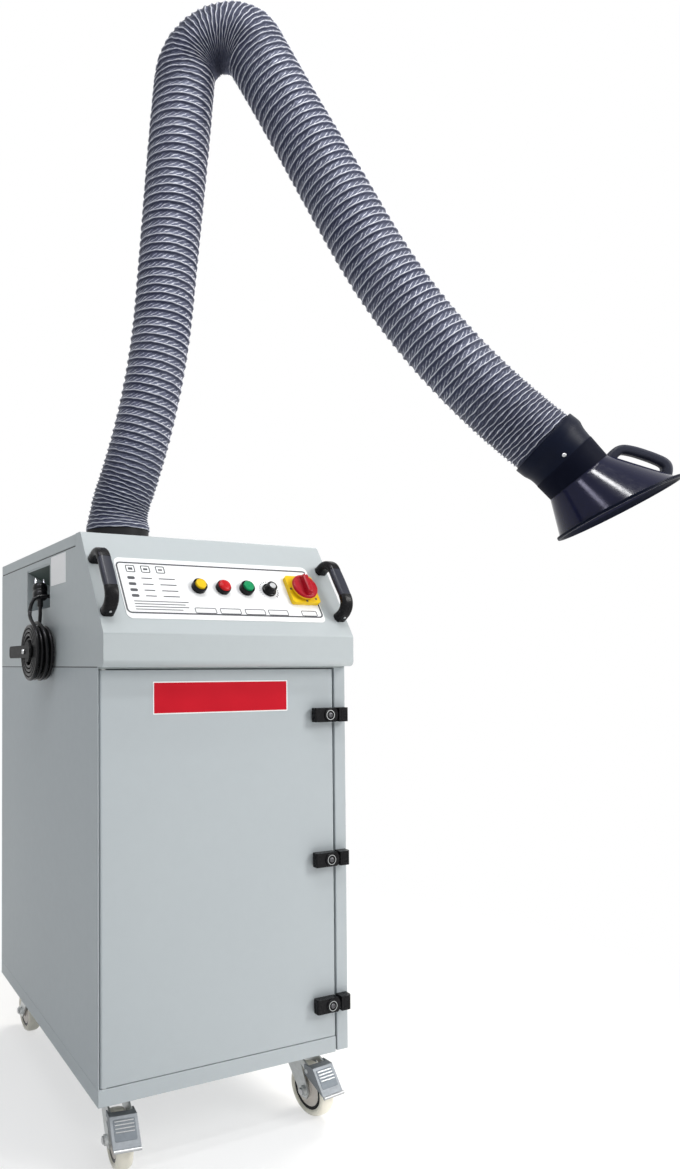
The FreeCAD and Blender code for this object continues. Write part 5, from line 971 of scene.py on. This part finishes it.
for name, heading in caster["headings"].items():
    x = caster["x"] if name.endswith("right") else -caster["x"]
    y = -caster["y"] if name.startswith("front") else caster["y"]
    heading = math.radians(heading)
    axle = np.array([math.cos(heading), math.sin(heading), 0.0])
    ahead = np.array([math.sin(heading), -math.cos(heading), 0.0])
    corner = np.array([x, y, 0.0])
    centre = corner + caster["trail"] * ahead + caster["axle"] * upright
    tag = name.replace("_l", "L").replace("_r", "R")
    wheel = latheRing(tag + "Wheel", centre, axle, wheelProfile, [creamNylon, hubGrey, blackPlastic], wheelBands, 72,
                      30.0)
    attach(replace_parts(wheel, "caster_wheel_" + name), "wheel_" + name)
    for sign in (-1, 1):
        spot = centre + sign * caster["bolt"] * axle
        bolt = lathe("%sBolt%s" % (tag, "Near" if sign < 0 else "Far"), spot, sign * axle, boltProfile, brightSteel,
                     count=6, angle=20.0)
        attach(bolt, "fork_" + name)
    if y < 0:
        top, foot = (corner + out * ahead + z * upright for out, z in (caster["pedalTop"], caster["pedalFoot"]))
        down = unit(foot - top)
        face = np.cross(down, axle)
        inset = plate(tag + "PedalInset", (top + caster["inset"] * down, axle, down, face), 0.041, 0.0345, 0.0006,
                      0.003, insetSteel)
        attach(inset, "pedal_" + name)
        for i in range(caster["ribs"]):
            spot = top + (caster["ribFirst"] + caster["ribStep"] * i) * down
            rib = plate("%sRib%d" % (tag, i), (spot, axle, down, face), 0.036, 0.0026, 0.0020, 0.0012, brightSteel,
                        0.0008)
            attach(rib, "pedal_" + name)
        lip = foot - 0.001 * down + 0.0006 * face
        roll = [lip + t * axle for t in np.linspace(-caster["lipHalf"], caster["lipHalf"], 9)]
        lipBar = sweep(tag + "PedalLip", roll, roundedRect(0.0062, 0.0062, 0.0030, 6), brightSteel, face)
        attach(lipBar, "pedal_" + name)
print("latches and casters ready")

# Small fixings: flange screws, hanger screw, hood screw, lid screws
flange = {"ring": 0.094, "top": 1.172, "screws": 6}
for i in range(flange["screws"]):
    turn = 2 * np.pi * (i + 0.5) / flange["screws"]
    spot = armBase + flange["ring"] * (math.cos(turn) * across - math.sin(turn) * frontward) + flange["top"] * upright
    screwHead("flangeScrew%d" % i, spot, upright, 0.0055, 0.0035, zincSteel, "cabinet")
screwHead("hangerScrew", (-0.326, cord["coilY"], cord["coilZ"]), leftward, 0.0052, 0.0028, brightSteel, "cabinet")
for i, (x, y) in enumerate(((-0.25, -0.19), (0.25, -0.19), (-0.25, 0.31), (0.25, 0.31))):
    screwHead("lidScrew%d" % i, (x, y, cabinet["consoleTop"]), upright, 0.0045, 0.0022, zincSteel, "cabinet")
neckRing = hoodSkin(hood["screwAt"], -0.0010)
neckSpot = neckRing[hood["screwTurn"]]
screwHead("neckScrew", neckSpot, unit(neckSpot - neckRing.mean(0)), 0.0046, 0.0028, brightSteel, "hood")
print("fixings ready")

# Camera at the photograph's place, in pixels of its 680 by 1169 frame
photo = {"place": (-0.7769, -1.6731, 0.9118), "focal": 800.96, "middle": (138.9, 643.6), "size": (680, 1169),
         "right": (0.915, -0.4035, -0.0026), "forward": (0.4035, 0.9146, 0.0266)}
camera = bpy.data.cameras.new("photoCamera")
camera.sensor_width = 36.0
camera.lens = photo["focal"] / photo["size"][1] * camera.sensor_width
camera.shift_x = (photo["size"][0] / 2 - photo["middle"][0]) / photo["size"][1]
camera.shift_y = (photo["middle"][1] - photo["size"][1] / 2) / photo["size"][1]
camera.clip_end = 50.0
cameraObject = placeObject("photoCamera", camera)
forward = unit(photo["forward"])
right = unit(np.asarray(photo["right"]) - np.dot(photo["right"], forward) * forward)
cameraObject.matrix_world = standing((right, np.cross(right, forward), -forward), photo["place"])
bpy.context.scene.camera = cameraObject

# Studio: pale floor, white surround for the camera, metal and glass, soft lamps
bpy.context.scene.view_settings.view_transform = "Standard"
surround = Finish("studio", "worlds", "Background")
bpy.context.scene.world = surround.block
white = {"Color": (1.0, 1.0, 1.0, 1.0), "Strength": 1.0}
surround.set(Color=(0.90, 0.95, 1.0, 1.0), Strength=0.26)
surround.cover(surround.seen(), surround.add("ShaderNodeBackground", {}, white), "World Output")

floorSize = 9.0
paleFloor = Finish("paleFloor")
floorTone = paleFloor.mixColour(paleFloor.noise(3.0), (0.93, 0.93, 0.93), (0.90, 0.90, 0.90))
paleFloor.set(Base_Color=floorTone, Roughness=0.8)
away = paleFloor.add("ShaderNodeVectorMath", {"operation": "LENGTH"}, [paleFloor.objectCoords()], output="Value")
fade = paleFloor.add("ShaderNodeMapRange", {"interpolation_type": "SMOOTHSTEP"},
                     {"Value": away, "From Min": 0.5, "From Max": 1.7, "To Min": 0.60, "To Max": 1.0})
paleFloor.cover(paleFloor.seen() * fade, paleFloor.add("ShaderNodeEmission", {}, white), "Material Output")
floorCorners = [(x * floorSize, y * floorSize, 0) for x, y in ((-1, -1), (1, -1), (1, 1), (-1, 1))]
floor = makePiece("floor", floorCorners, [[0, 1, 2, 3]], paleFloor.block, smooth=False)

# Name: place, aim, sides of one tube, gap between two tubes or 0 for one, watts in all, colour
lamps = {"key": ((2.5, -3.0, 2.9), (0.0, -0.2, 0.9), (0.20, 1.8), 0.75, 98.0, (1.0, 0.99, 0.97)),
         "top": ((-0.3, -1.5, 4.6), (0.0, 0.0, 1.0), (0.22, 3.0), 0.95, 74.0, (1.0, 1.0, 1.0)),
         "rim": ((3.0, 1.2, 3.6), (0.4, 0.0, 1.8), (2.2, 2.2), 0.0, 225.0, (1.0, 0.95, 0.88)),
         "left": ((-1.8, -0.7, 2.4), (-0.27, 0.0, 1.1), (0.8, 0.8), 0.0, 3.2, (0.95, 0.97, 1.0)),
         "highGlint": ((-0.10, -1.14, 3.30), (0.83, -0.52, 1.30), (0.30, 0.30), 0.0, 25.0, (1.0, 1.0, 1.0)),
         "sideGlint": ((-1.16, -0.40, 2.48), (0.80, -0.48, 1.30), (0.30, 0.30), 0.0, 7.5, (0.80, 0.78, 1.0))}
for name, (place, target, sides, gap, watts, colour) in lamps.items():
    lampSide, _, aim = axesFor(np.subtract(target, place))
    offsets = (-gap / 2, gap / 2) if gap else (0.0,)
    for i, offset in enumerate(offsets):
        light = bpy.data.lights.new("%sLamp%d" % (name, i), "AREA")
        light.shape = "RECTANGLE"
        light.energy, light.size, light.size_y, light.color = watts / len(offsets), sides[0], sides[1], colour
        lamp = placeObject(light.name, light)
        lamp.visible_glossy = name != "rim"
        lamp.visible_diffuse = "Glint" not in name
        lamp.matrix_world = standing((lampSide, np.cross(-aim, lampSide), -aim), place + offset * lampSide)
print("studio ready")
